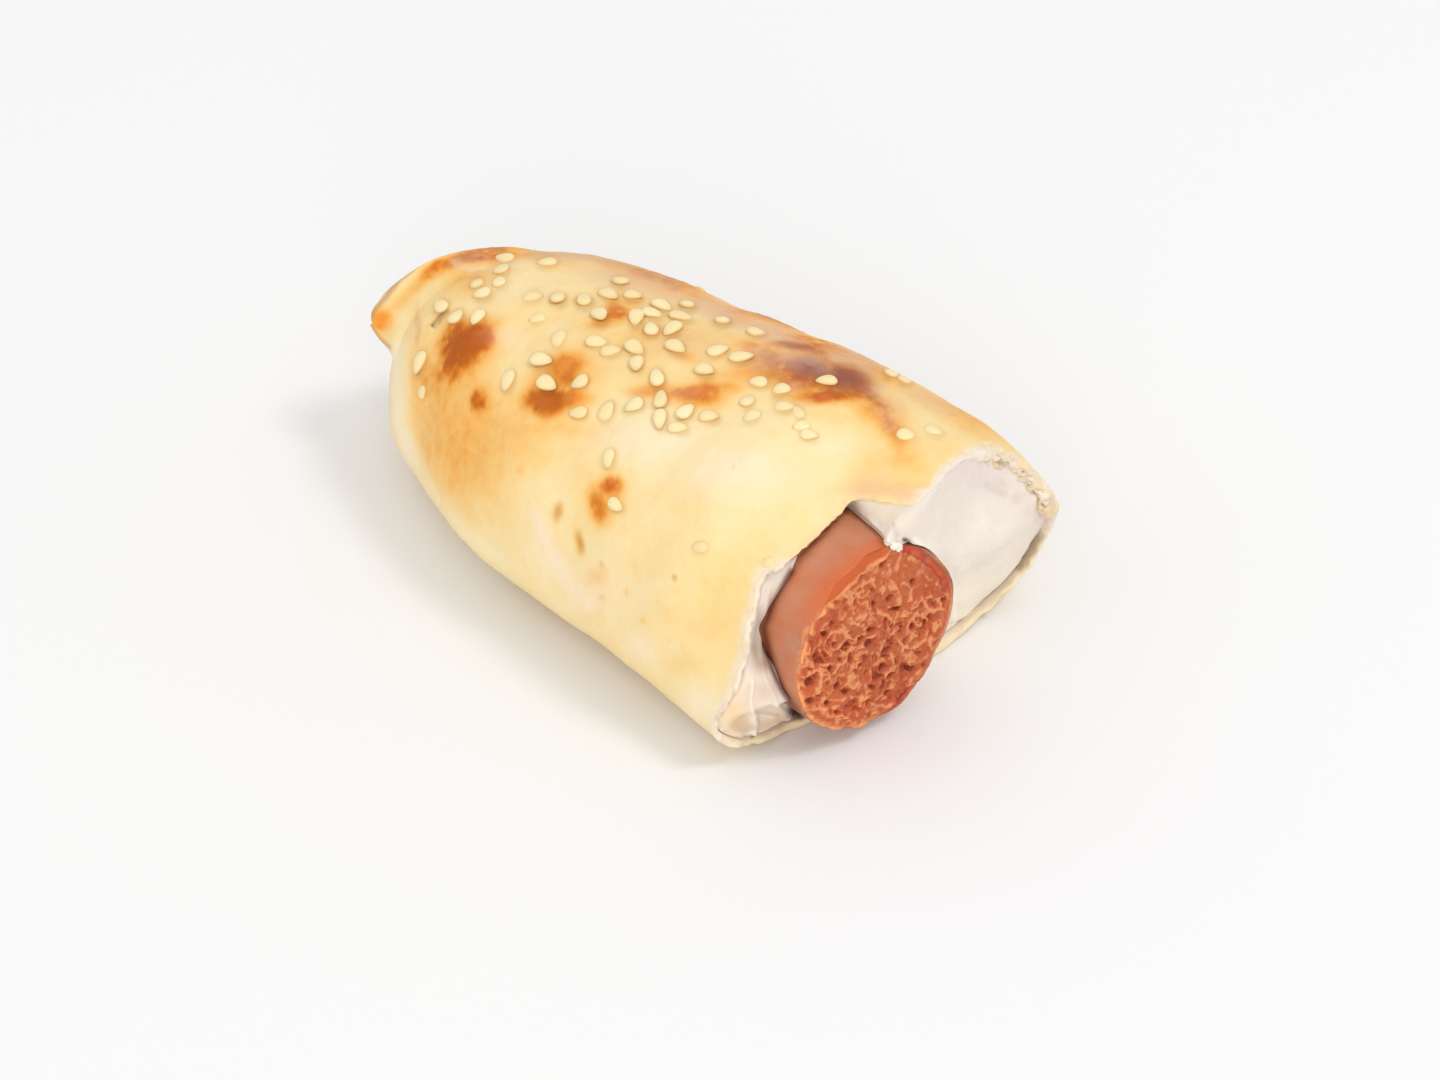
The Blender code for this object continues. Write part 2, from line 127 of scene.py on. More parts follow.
# ---------------------------------------------------------------- shape functions
def curve(table, column, x):
    """Smooth curve through the rows of a table (cubic, slopes from the neighbours)."""
    xs, ys = table[:, 0], table[:, column]
    d = np.diff(ys) / np.diff(xs)
    m = np.concatenate([[d[0]], 0.5 * (d[:-1] + d[1:]), [d[-1]]])
    x = np.clip(x, xs[0], xs[-1])
    i = np.clip(np.searchsorted(xs, x, side="right") - 1, 0, len(xs) - 2)
    h = xs[i + 1] - xs[i]
    t = (x - xs[i]) / h
    return ((2 * t**3 - 3 * t**2 + 1) * ys[i] + (t**3 - 2 * t**2 + t) * h * m[i]
            + (3 * t**2 - 2 * t**3) * ys[i + 1] + (t**3 - t**2) * h * m[i + 1])


def ramp(a, b, x):
    t = np.clip((x - a) / (b - a), 0.0, 1.0)
    return t * t * (3 - 2 * t)


def lip_x(phi):
    return curve(LIP, 1, np.degrees(phi) % 360)


def unevenness(x, phi):
    return (0.12 * np.sin(0.21 * x + 2 * phi + 0.6) + 0.10 * np.sin(0.37 * x - 3 * phi + 2.1)
            + 0.08 * np.sin(0.55 * x + 5 * phi + 4.0))


def wrap_point(x, phi, inset=0.0):
    """The wrap's outside at X = x in direction phi, or a surface `inset` inside it: Y and Z."""
    near, far, top, pu, pl = (curve(SECTIONS, c, x) for c in range(1, 6))
    near, far, top = near + inset, far - inset, top - inset
    floor = FLOOR + inset
    q = np.clip((X_CAP - x) / (X_CAP - X_BACK - inset), 0, 1)
    k = np.sqrt(np.maximum(1 - q**2.6, 0)) ** (2 / 2.2)
    half = 0.5 * (far - near)
    c, s = np.cos(phi), np.sin(phi)
    p = np.where(s > 0, pu, pl)
    rise = np.where(s > 0, top - SECTION_MID, SECTION_MID - (floor - 0.8))
    swell = unevenness(x, phi) * ramp(-0.6, 0.1, s) * k
    y = 0.5 * (near + far) + (half * k + swell) * np.sign(c) * np.abs(c) ** (2 / p)
    z = SECTION_MID + (1 - k) + (rise * k + swell) * np.sign(s) * np.abs(s) ** (2 / p)
    z = floor + 0.5 * ((z - floor) + np.sqrt((z - floor) ** 2 + 1.44))
    z = np.maximum(z - 0.34 * np.exp(-((z - floor) / 2.0) ** 2), floor)
    rho = np.hypot(y, z)
    psi = np.degrees(np.arctan2(z, y)) % 360
    w = ramp(-21, -7, x) * ramp(52, 84, psi) * (1 - ramp(168, 208, psi))
    hug = HUG - inset + 1.6 * ramp(130, 190, psi)
    r = rho + w * 0.92 * np.minimum(hug - rho, 0)
    return y * r / np.maximum(rho, 1e-6), z * r / np.maximum(rho, 1e-6)


def wrap_xyz(x, phi, inset=0.0):
    y, z = wrap_point(x, phi, inset)
    return np.stack([x + 0 * y, y, z], -1)


def press(points, lip, deg):
    """Over the sausage the torn edge lies closer to it: points near that edge move towards the axis."""
    d = 1.1 * ramp(80, 92, deg) * (1 - ramp(112, 128, deg)) * ramp(4.2, 0.2, lip - points[..., 0])
    rho = np.hypot(points[..., 1], points[..., 2])
    f = (rho - d) / np.maximum(rho, 1e-6)
    return np.stack([points[..., 0], points[..., 1] * f, points[..., 2] * f], -1)


def sausage_axis(x):
    return SAUSAGE_BEND * ramp(-20.0, -84.0, x)


def sausage_radius(x, grow=0.0):
    d = np.clip((x - SAUSAGE_END + grow) / (SAUSAGE_R + grow), 0, 1)
    return (SAUSAGE_R + grow) * np.sqrt(np.maximum(1 - (1 - d) ** 2.2, 0))


def face_height(rho, psi):
    q = rho / SAUSAGE_R
    bumps = (0.5 * np.sin(0.9 * rho * np.cos(psi) + 1.3) * np.cos(0.8 * rho * np.sin(psi) - 0.4)
             + 0.5 * np.sin(0.55 * rho * np.sin(psi + 0.9) + 0.7))
    rim = 0.35 * np.sin(3 * psi + 0.5) + 0.25 * np.sin(5 * psi + 2.0)
    return FACE_RELIEF * (bumps * (1 - 0.5 * q**2) + rim * q**3) - 0.5 * q**6


# ---------------------------------------------------------------- noise
def hash01(i, j, k, seed):
    with np.errstate(over="ignore"):
        h = (i.astype(np.int64).astype(np.uint64) * np.uint64(73856093)
             ^ j.astype(np.int64).astype(np.uint64) * np.uint64(19349663)
             ^ k.astype(np.int64).astype(np.uint64) * np.uint64(83492791)
             ^ np.uint64(seed * 2654435761 + 97))
        h = (h ^ (h >> np.uint64(15))) * np.uint64(0x2C1B3C6D)
        h = (h ^ (h >> np.uint64(12))) * np.uint64(0x297A2D39)
        h = h ^ (h >> np.uint64(15))
    return (h & np.uint64(0xFFFFFF)).astype(float) / float(0xFFFFFF)


def noise(p, seed=0):
    """Smooth value noise, -1..1, one cell per unit."""
    i = np.floor(p)
    f = p - i
    u = f * f * f * (f * (f * 6 - 15) + 10)
    out = 0.0
    for a in (0, 1):
        for b in (0, 1):
            for c in (0, 1):
                w = ((u[..., 0] if a else 1 - u[..., 0]) * (u[..., 1] if b else 1 - u[..., 1])
                     * (u[..., 2] if c else 1 - u[..., 2]))
                out = out + w * hash01(i[..., 0] + a, i[..., 1] + b, i[..., 2] + c, seed)
    return out * 2 - 1


def fbm(p, octaves=4, seed=0, gain=0.5):
    total, amp, norm = 0.0, 1.0, 0.0
    for o in range(octaves):
        total = total + amp * noise(p * 2.03**o + 17.3 * o, seed + o * 11)
        norm += amp
        amp *= gain
    return total / norm


def worley(p, seed=0):
    """Distance to the nearest and second nearest scattered point, and a value of the nearest's own."""
    i = np.floor(p)
    f1 = np.full(p.shape[:-1], 9.0)
    f2 = np.full(p.shape[:-1], 9.0)
    own = np.zeros(p.shape[:-1])
    for a in (-1, 0, 1):
        for b in (-1, 0, 1):
            for c in (-1, 0, 1):
                ci, cj, ck = i[..., 0] + a, i[..., 1] + b, i[..., 2] + c
                q = np.stack([ci + hash01(ci, cj, ck, seed + 1), cj + hash01(ci, cj, ck, seed + 2),
                              ck + hash01(ci, cj, ck, seed + 3)], -1)
                d = np.linalg.norm(p - q, axis=-1)
                v = hash01(ci, cj, ck, seed + 4)
                nearer = d < f1
                f2 = np.where(nearer, f1, np.minimum(f2, d))
                own = np.where(nearer, v, own)
                f1 = np.where(nearer, d, f1)
    return f1, f2, own


# ---------------------------------------------------------------- camera
AZIMUTH, ELEVATION, LENS, SENSOR = np.radians(48.2), np.radians(35.4), 100.0, 36.0
FOCAL = 1440 * LENS / SENSOR
BACK = np.array([np.sin(AZIMUTH) * np.cos(ELEVATION), -np.cos(AZIMUTH) * np.cos(ELEVATION), np.sin(ELEVATION)])
RIGHT = np.array([np.cos(AZIMUTH), np.sin(AZIMUTH), 0.0])
UP = np.cross(BACK, RIGHT)
DISTANCE = FOCAL / 8.32                       # 8.32 pixels a millimetre at the sausage's torn face
EYE = -((876 - 720) / FOCAL * DISTANCE * RIGHT - (640 - 540) / FOCAL * DISTANCE * UP - DISTANCE * BACK)


def project(points):
    """Pixel of the 1440 x 1080 frame where a point shows."""
    d = points - EYE
    w = -d @ BACK
    return 720 + FOCAL * (d @ RIGHT) / w, 540 - FOCAL * (d @ UP) / w


def sight(u, v):
    """Direction from the camera through a pixel."""
    d = -BACK + (u - 720) / FOCAL * RIGHT - (v - 540) / FOCAL * UP
    return d / np.linalg.norm(d)


def to_world(points):
    return (np.asarray(points, float) - CENTRE) * MM


# ---------------------------------------------------------------- colours, as they look on the baked pie
def seen(r, g, b):
    c = np.array([r, g, b], float) / 255
    return np.where(c <= 0.04045, c / 12.92, ((c + 0.055) / 1.055) ** 2.4)


# what a white surface shows in this light, so that a material's own colour is the seen one over this
LIGHT_LEVEL = 1.09

TOAST = [                                      # degree of baking, colour
    (0.00, seen(253, 240, 204)),
    (0.14, seen(251, 231, 180)),
    (0.28, seen(250, 218, 153)),
    (0.42, seen(250, 201, 122)),
    (0.56, seen(245, 179, 88)),
    (0.70, seen(230, 146, 50)),
    (0.84, seen(207, 112, 8)),
    (1.00, seen(181, 87, 6)),
    (1.20, seen(150, 64, 18)),
]
CREAM = seen(252, 240, 224)
ROSE = seen(232, 190, 158)
PLUM = seen(152, 88, 68)
PLUM_GREY = seen(196, 156, 142)
RED = seen(222, 108, 52)
ORANGE = seen(250, 160, 66)
CRUMB = seen(246, 230, 208)
CRUMB_PORE = seen(206, 178, 160)
WHITE = seen(242, 231, 216)
WHITE_SHADE = seen(226, 214, 208)
SEED = seen(255, 240, 190)
SEED_TOAST_AND_SHADE = seen(243, 208, 140)


def toast_colour(t):
    ts = np.array([a for a, _ in TOAST])
    cs = np.array([c for _, c in TOAST])
    return np.stack([np.interp(t, ts, cs[:, i]) for i in range(3)], -1)


def mix(a, b, w):
    return a + (b - a) * np.clip(w, 0, 1)[..., None]


# ---------------------------------------------------------------- mesh helpers
def make_object(name, points, faces, colour=None):
    mesh = bpy.data.meshes.new(name)
    mesh.from_pydata(to_world(points).tolist(), [], faces)
    mesh.validate()
    mesh.update()
    if colour is not None:
        layer = mesh.color_attributes.new("tone", "FLOAT_COLOR", "POINT")
        data = np.ones((len(points), 4), np.float32)
        data[:, :3] = np.clip(colour / LIGHT_LEVEL, 0, 1)
        layer.data.foreach_set("color", data.ravel())
    mesh.polygons.foreach_set("use_smooth", np.ones(len(mesh.polygons), bool))
    obj = bpy.data.objects.new(name, mesh)
    bpy.context.scene.collection.objects.link(obj)
    return obj


def tube_faces(n_rows, n_cols, first, last):
    """Closed body from rows of points round it, with a pole point before the first row and one after the last."""
    j = np.arange(n_cols)
    k = (j + 1) % n_cols
    faces = []
    faces += np.stack([np.full(n_cols, first), 1 + k, 1 + j], 1).tolist()
    for i in range(n_rows - 1):
        a, b = 1 + i * n_cols, 1 + (i + 1) * n_cols
        faces += np.stack([a + j, a + k, b + k, b + j], 1).tolist()
    a = 1 + (n_rows - 1) * n_cols
    faces += np.stack([np.full(n_cols, last), a + j, a + k], 1).tolist()
    return faces


def grid_normals(grid):
    """Outward normals of rows of points that run round the body, from the closed end forwards."""
    du = np.roll(grid, -1, axis=1) - np.roll(grid, 1, axis=1)
    dv = np.gradient(grid, axis=0)
    n = np.cross(du, dv)
    return n / np.maximum(np.linalg.norm(n, axis=-1, keepdims=True), 1e-9)


def faces_out(obj):
    """Turns the body's faces outwards if they face in."""
    mesh = obj.data
    co = np.zeros(len(mesh.vertices) * 3)
    mesh.vertices.foreach_get("co", co)
    co = co.reshape(-1, 3)
    mesh.calc_loop_triangles()
    t = np.zeros(len(mesh.loop_triangles) * 3, int)
    mesh.loop_triangles.foreach_get("vertices", t)
    t = t.reshape(-1, 3)
    volume = np.einsum("ij,ij->i", co[t[:, 0]], np.cross(co[t[:, 1]], co[t[:, 2]])).sum() / 6
    if volume < 0:
        mesh.flip_normals()
    return abs(volume) * 1e9


# ---------------------------------------------------------------- dough: base surface
COLUMNS = np.radians(np.concatenate([np.linspace(-25, 83, 114)[:-1], np.linspace(83, 99, 31)[:-1],
                                     np.linspace(99, 205, 110)[:-1], np.linspace(205, 335, 45)[:-1]]))
N_COL = len(COLUMNS)


def brim_at(phi_deg):
    """X of the brim's root line and its height in a direction, and how far along the brim that is."""
    s = np.linspace(0, 1, 401)
    fs = curve(BRIM, 2, s)[::-1]
    x = np.interp(phi_deg, fs, curve(BRIM, 1, s)[::-1])
    h = np.interp(phi_deg, fs, curve(BRIM, 3, s)[::-1])
    along = np.interp(phi_deg, fs, s[::-1])
    # the far end runs out, the near end is cut off in a short slope
    h = h * ramp(62, 74, phi_deg)
    h = np.where(phi_deg > 147, 4.35 * np.clip((157.5 - phi_deg) / 10.5, 0, 1) ** 0.8, h)
    return x, np.maximum(h, 0.0), along


def brim_section(n_low=20, n_up=34, reach=6.4):
    """Section across the brim: distance from its root line along the surface, share of its height."""
    u = 0.5 - 0.5 * np.cos(np.linspace(0, np.pi, n_low + 1))
    low = 0.72 + 0.42 * (1 - u) + 1.5 * (1 - u) ** 6
    low = low * np.sqrt(np.maximum(1 - np.clip((u - 0.72) / 0.28, 0, 1) ** 2, 0))
    v = 1 - (0.5 - 0.5 * np.cos(np.linspace(0, np.pi, n_up + 1)))[1:]
    high = 0.72 + 0.42 * (1 - v) + (reach - 1.14) * (1 - v) ** 2.3
    high = high * np.sqrt(np.maximum(1 - np.clip((v - 0.72) / 0.28, 0, 1) ** 2, 0))
    return np.concatenate([-low, high]), np.concatenate([u, v])


def column_rows(phi):
    """All outside stations of one column, from the pole (left out) to the lip."""
    deg = np.degrees(phi)
    root, height, along = brim_at(np.clip(deg, 60, 165))
    root, height, along = float(root), float(height), float(along)
    # below, the rows pass evenly from one end of the brim round to the other
    if deg > 165:
        root = root + (float(brim_at(np.array(60.0))[0]) - root) * float(ramp(165, 335, deg))
    p0 = wrap_xyz(np.array([root]), np.array([phi]))[0]
    p1 = wrap_xyz(np.array([root + 0.01]), np.array([phi]))[0]
    p2 = wrap_xyz(np.array([root]), np.array([phi + 0.001]))[0]
    dx = (p1 - p0) / 0.01
    speed = np.linalg.norm(dx)
    out = np.cross(p2 - p0, dx)
    out /= np.linalg.norm(out)
    if out[0] > 0:
        out = -out
    offset, share = brim_section()
    start = root + offset[0] / speed
    end = root + offset[-1] / speed
    t = np.arange(1, 36) / 36
    back = X_BACK + (start - X_BACK) * (1 - np.cos(t * np.pi / 2)) ** 0.9
    band = root + offset / speed
    front_part = np.linspace(end, X_CAP, 21)[1:]
    lip = lip_edge(phi)
    t = np.linspace(0, 1, 179)[1:]
    body = X_CAP + (lip - X_CAP) * (0.55 * t + 0.45 * (1 - (1 - t) ** 1.5))
    x = np.concatenate([back, band, front_part, body])
    pts = press(wrap_xyz(x, np.full_like(x, phi)), lip, deg)
    across = dx / speed
    i0 = len(back)
    wave = 0.35 * np.sin(9.0 * along + 1.0) + 0.22 * np.sin(23.0 * along + 0.4)
    n = len(band)
    pts[i0:i0 + n] += out[None] * (height * share)[:, None]
    pts[i0:i0 + n] += across[None] * (wave * share * min(height / 3.0, 1.0))[:, None]
    return pts


def lip_bulge(deg):
    """How far the rounded edge stands forward of the crust's last full section."""
    return 0.42 - 0.27 * ramp(58, 70, deg) * (1 - ramp(124, 132, deg))


def lip_edge(phi):
    """X of the torn lip with its raggedness."""
    p = wrap_xyz(lip_x(np.atleast_1d(phi)), np.atleast_1d(phi))
    rag = 0.42 * fbm(p * 0.42, 3, seed=5) + 0.20 * noise(p * 1.7, seed=9)
    calm = 1 - 0.5 * ramp(58, 70, np.degrees(phi)) * (1 - ramp(112, 124, np.degrees(phi)))
    return float((lip_x(np.atleast_1d(phi)) + rag * calm)[0] - lip_bulge(np.degrees(phi)))


outer = np.stack([column_rows(f) for f in COLUMNS], 1)          # rows, columns, xyz
N_OUT = len(outer)
phi_deg = np.degrees(COLUMNS)
lip_xs = outer[-1, :, 0]
# thickness of the crust at the lip: thicker where the torn crumb shows on the far upper side
lip_wall = WALL_LIP + 0.75 * ramp(6, 22, phi_deg) * (1 - ramp(58, 74, phi_deg))
lip_wall = lip_wall - 0.60 * ramp(58, 70, phi_deg) * (1 - ramp(124, 132, phi_deg))
lip_wall = lip_wall - 0.20 * ramp(126, 134, phi_deg) * (1 - ramp(190, 215, phi_deg))


def wall_inset(x, lip, wall_lip):
    return wall_lip + (WALL - wall_lip) * ramp(0.0, LIP_LENGTH, lip - x)


inner_lip = press(wrap_xyz(lip_xs, COLUMNS, lip_wall), lip_xs, phi_deg)
N_LIP = 12
t = np.linspace(0, np.pi, N_LIP + 2)[1:-1]
centre = 0.5 * (outer[-1] + inner_lip)
radial = 0.5 * (outer[-1] - inner_lip)
bulge = lip_bulge(phi_deg)[:, None] * np.array([[1.0, 0, 0]])
lip_rows = np.array([centre + radial * np.cos(a) + bulge * np.sin(a) for a in t])
inner_rows = []
for r in np.linspace(0, 1, 24)[:-1]:
    row = []
    xs = lip_xs + (X_BACK + WALL - lip_xs) * (1 - np.cos(r * np.pi / 2)) ** 0.85 if r > 0 else lip_xs
    inset = wall_inset(xs, lip_xs, lip_wall)
    inner_rows.append(press(wrap_xyz(xs, COLUMNS, inset), lip_xs, phi_deg))
inner_rows = np.array(inner_rows)

grid = np.concatenate([outer, lip_rows, inner_rows])
N_ROWS = len(grid)
row_of = np.arange(N_ROWS)
is_outer = row_of < N_OUT
is_lip = (row_of >= N_OUT) & (row_of < N_OUT + N_LIP)
normals = grid_normals(grid)
base = grid.copy()

# tree of the outside for finding what a pixel shows
j = np.arange(N_COL)
k = (j + 1) % N_COL
quads = []
for i in range(N_OUT + N_LIP - 1):
    a, b = i * N_COL, (i + 1) * N_COL
    quads += np.stack([a + j, a + k, b + k, b + j], 1).tolist()
dough_tree = BVHTree.FromPolygons([Vector(p) for p in base[:N_OUT + N_LIP].reshape(-1, 3)], quads)


def hit(u, v, tree):
    d = sight(u, v)
    where, normal, _, _ = tree.ray_cast(Vector(EYE), Vector(d))
    if where is None:
        return None, None
    n = np.array(normal)
    if n @ d > 0:
        n = -n
    return np.array(where), n


class Canvas:
    """Marks on a surface, placed where the camera sees them and limited to that side of the body."""

    def __init__(self, points, tree, warp=2.2, seed=40):
        self.p = points.reshape(-1, 3)
        self.tree = tree
        self.u, self.v = project(self.p)
        self.u = self.u + warp * fbm(self.p * 0.35, 3, seed)
        self.v = self.v + warp * fbm(self.p * 0.35 + 50, 3, seed + 1)
        self.shape = points.shape[:-1]

    def spot(self, u, v, a, b, angle=0.0, power=1.0):
        """Soft ellipse with half sizes a, b pixels at an angle that rises to the right."""
        p0, _ = hit(u, v, self.tree)
        if p0 is None:
            for r in (3, 6, 10, 15):
                for q in np.linspace(0, 2 * np.pi, 12, endpoint=False):
                    p0, _ = hit(u + r * np.cos(q), v + r * np.sin(q), self.tree)
                    if p0 is not None:
                        break
                if p0 is not None:
                    break
        if p0 is None:
            print("mark off the surface", u, v)
            return np.zeros(self.shape)
        c, s = np.cos(np.radians(angle)), np.sin(np.radians(angle))
        du, dv = self.u - u, self.v - v
        e1, e2 = du * c - dv * s, -du * s - dv * c
        q = (e1 / a) ** 2 + (e2 / b) ** 2
        r = 2.4 * max(a, b) / 8.0 + 3.0
        near = 1 - ramp(r, 1.7 * r, np.linalg.norm(self.p - p0, axis=1))
        return (np.exp(-q**power) * near).reshape(self.shape)

    def line(self, pixels, width, ends=1.0, taper=False):
        """Soft stroke along a line of pixels."""
        pixels = np.array(pixels, float)
        best = np.full(len(self.p), 1e9)
        where = np.zeros(len(self.p))
        total = len(pixels) - 1
        for i in range(total):
            a, b = pixels[i], pixels[i + 1]
            d = b - a
            l2 = d @ d
            t = np.clip(((self.u - a[0]) * d[0] + (self.v - a[1]) * d[1]) / l2, 0, 1)
            dist = np.hypot(self.u - a[0] - t * d[0], self.v - a[1] - t * d[1])
            nearer = dist < best
            where = np.where(nearer, (i + t) / total, where)
            best = np.where(nearer, dist, best)
        w = width * (np.sqrt(np.maximum(1 - (2 * where - 1) ** 2, 0.02)) if taper else 1.0)
        out = np.exp(-(best / w) ** 2)
        anchors = []
        for f in np.linspace(0, 1, 7):
            x = np.interp(f * total, np.arange(total + 1), pixels[:, 0])
            y = np.interp(f * total, np.arange(total + 1), pixels[:, 1])
            p0, _ = hit(x, y, self.tree)
            if p0 is not None:
                anchors.append(p0)
        if not anchors:
            print("line off the surface", pixels[0])
            return np.zeros(self.shape)
        far = np.min([np.linalg.norm(self.p - p0, axis=1) for p0 in anchors], axis=0)
        r = 2.0 * width / 8.0 + np.hypot(*(pixels[-1] - pixels[0])) / 8.0 / 5 + 2.5
        return (out * (1 - ramp(r, 1.8 * r, far))).reshape(self.shape)


paint = Canvas(grid, dough_tree)
# ---------------------------------------------------------------- where the seeds lie
# pixel u, v, angle (rising right), length and width in pixels, how deep it is pressed in (0 on top, 1 covered)
SEEDS = [
    (441, 306, 45, 18, 12, 0.35), (457, 317, 55, 18, 12, 0.2), (478, 318, 55, 17, 11, 0.2), (482, 294, 12, 18, 12, 0.35),
    (477, 283, 10, 16, 12, 0.6), (499, 281, 10, 18, 12, 0.6), (502, 269, 70, 14, 12, 0.4), (504, 258, -15, 18, 9, 0.6),
    (547, 262, 8, 20, 9, 0.6), (420, 363, 75, 27, 9, 0.3), (422, 391, 70, 16, 9, 1.06), (508, 381, 70, 22, 10, 0.3),
    (533, 296, 0, 20, 12, 0.65), (558, 298, 0, 18, 14, 0.2), (584, 300, 3, 21, 14, 0.15), (600, 316, -60, 19, 14, 0.1),
    (609, 295, -30, 24, 11, 0.3), (619, 281, -35, 15, 11, 0.35), (633, 296, -15, 18, 10, 0.3), (636, 319, 80, 20, 14, 0.1),
    (558, 339, 70, 18, 11, 0.65), (542, 361, -10, 22, 16, 0.0), (548, 385, -30, 21, 15, 0.0), (580, 383, 20, 19, 12, 0.2),
    (597, 342, -5, 21, 11, 0.45), (611, 351, 5, 22, 10, 0.45), (635, 349, -40, 18, 13, 0.1), (637, 365, 90, 14, 13, 0.1),
    (662, 307, -25, 22, 12, 0.2), (687, 305, -10, 20, 10, 0.3), (652, 314, -10, 21, 12, 0.2), (681, 317, -10, 24, 9, 0.3),
    (651, 330, 15, 19, 13, 0.1), (672, 330, 40, 18, 13, 0.1), (722, 321, 0, 22, 8, 0.35), (756, 333, 0, 18, 7, 0.35),
    (676, 348, -30, 18, 14, 0.1), (718, 351, 15, 22, 9, 0.3), (741, 358, 3, 25, 10, 0.15), (705, 371, -20, 18, 14, 0.1),
    (657, 378, -75, 19, 14, 0.2), (758, 382, 0, 19, 10, 0.3), (781, 389, 25, 18, 11, 0.2), (826, 381, 0, 21, 12, 0.0),
    (748, 401, 45, 15, 9, 0.45), (751, 416, 30, 18, 9, 0.6), (785, 406, 0, 21, 9, 0.4), (798, 411, -60, 14, 9, 0.45),
    (801, 426, 10, 12, 7, 0.6), (809, 435, -10, 18, 9, 0.35), (634, 406, 25, 21, 11, 0.25), (607, 411, 60, 22, 12, 0.35),
    (578, 413, 0, 19, 11, 0.35), (686, 412, 45, 20, 12, 0.15), (709, 417, -5, 20, 10, 0.3), (678, 428, 0, 20, 9, 0.4),
    (661, 400, 85, 18, 12, 0.15), (660, 420, 88, 20, 13, 0.2), (609, 459, 80, 20, 10, 0.35), (616, 505, -40, 16, 11, 0.35),
    (699, 547, 0, 15, 12, 0.75), (766, 562, 0, 12, 10, 0.95), (891, 374, -20, 15, 9, 0.4), (904, 380, -20, 15, 9, 0.5),
    (907, 435, -20, 20, 12, 0.8), (934, 430, -20, 20, 10, 0.8), (537, 318, 20, 12, 8, 0.75),
]
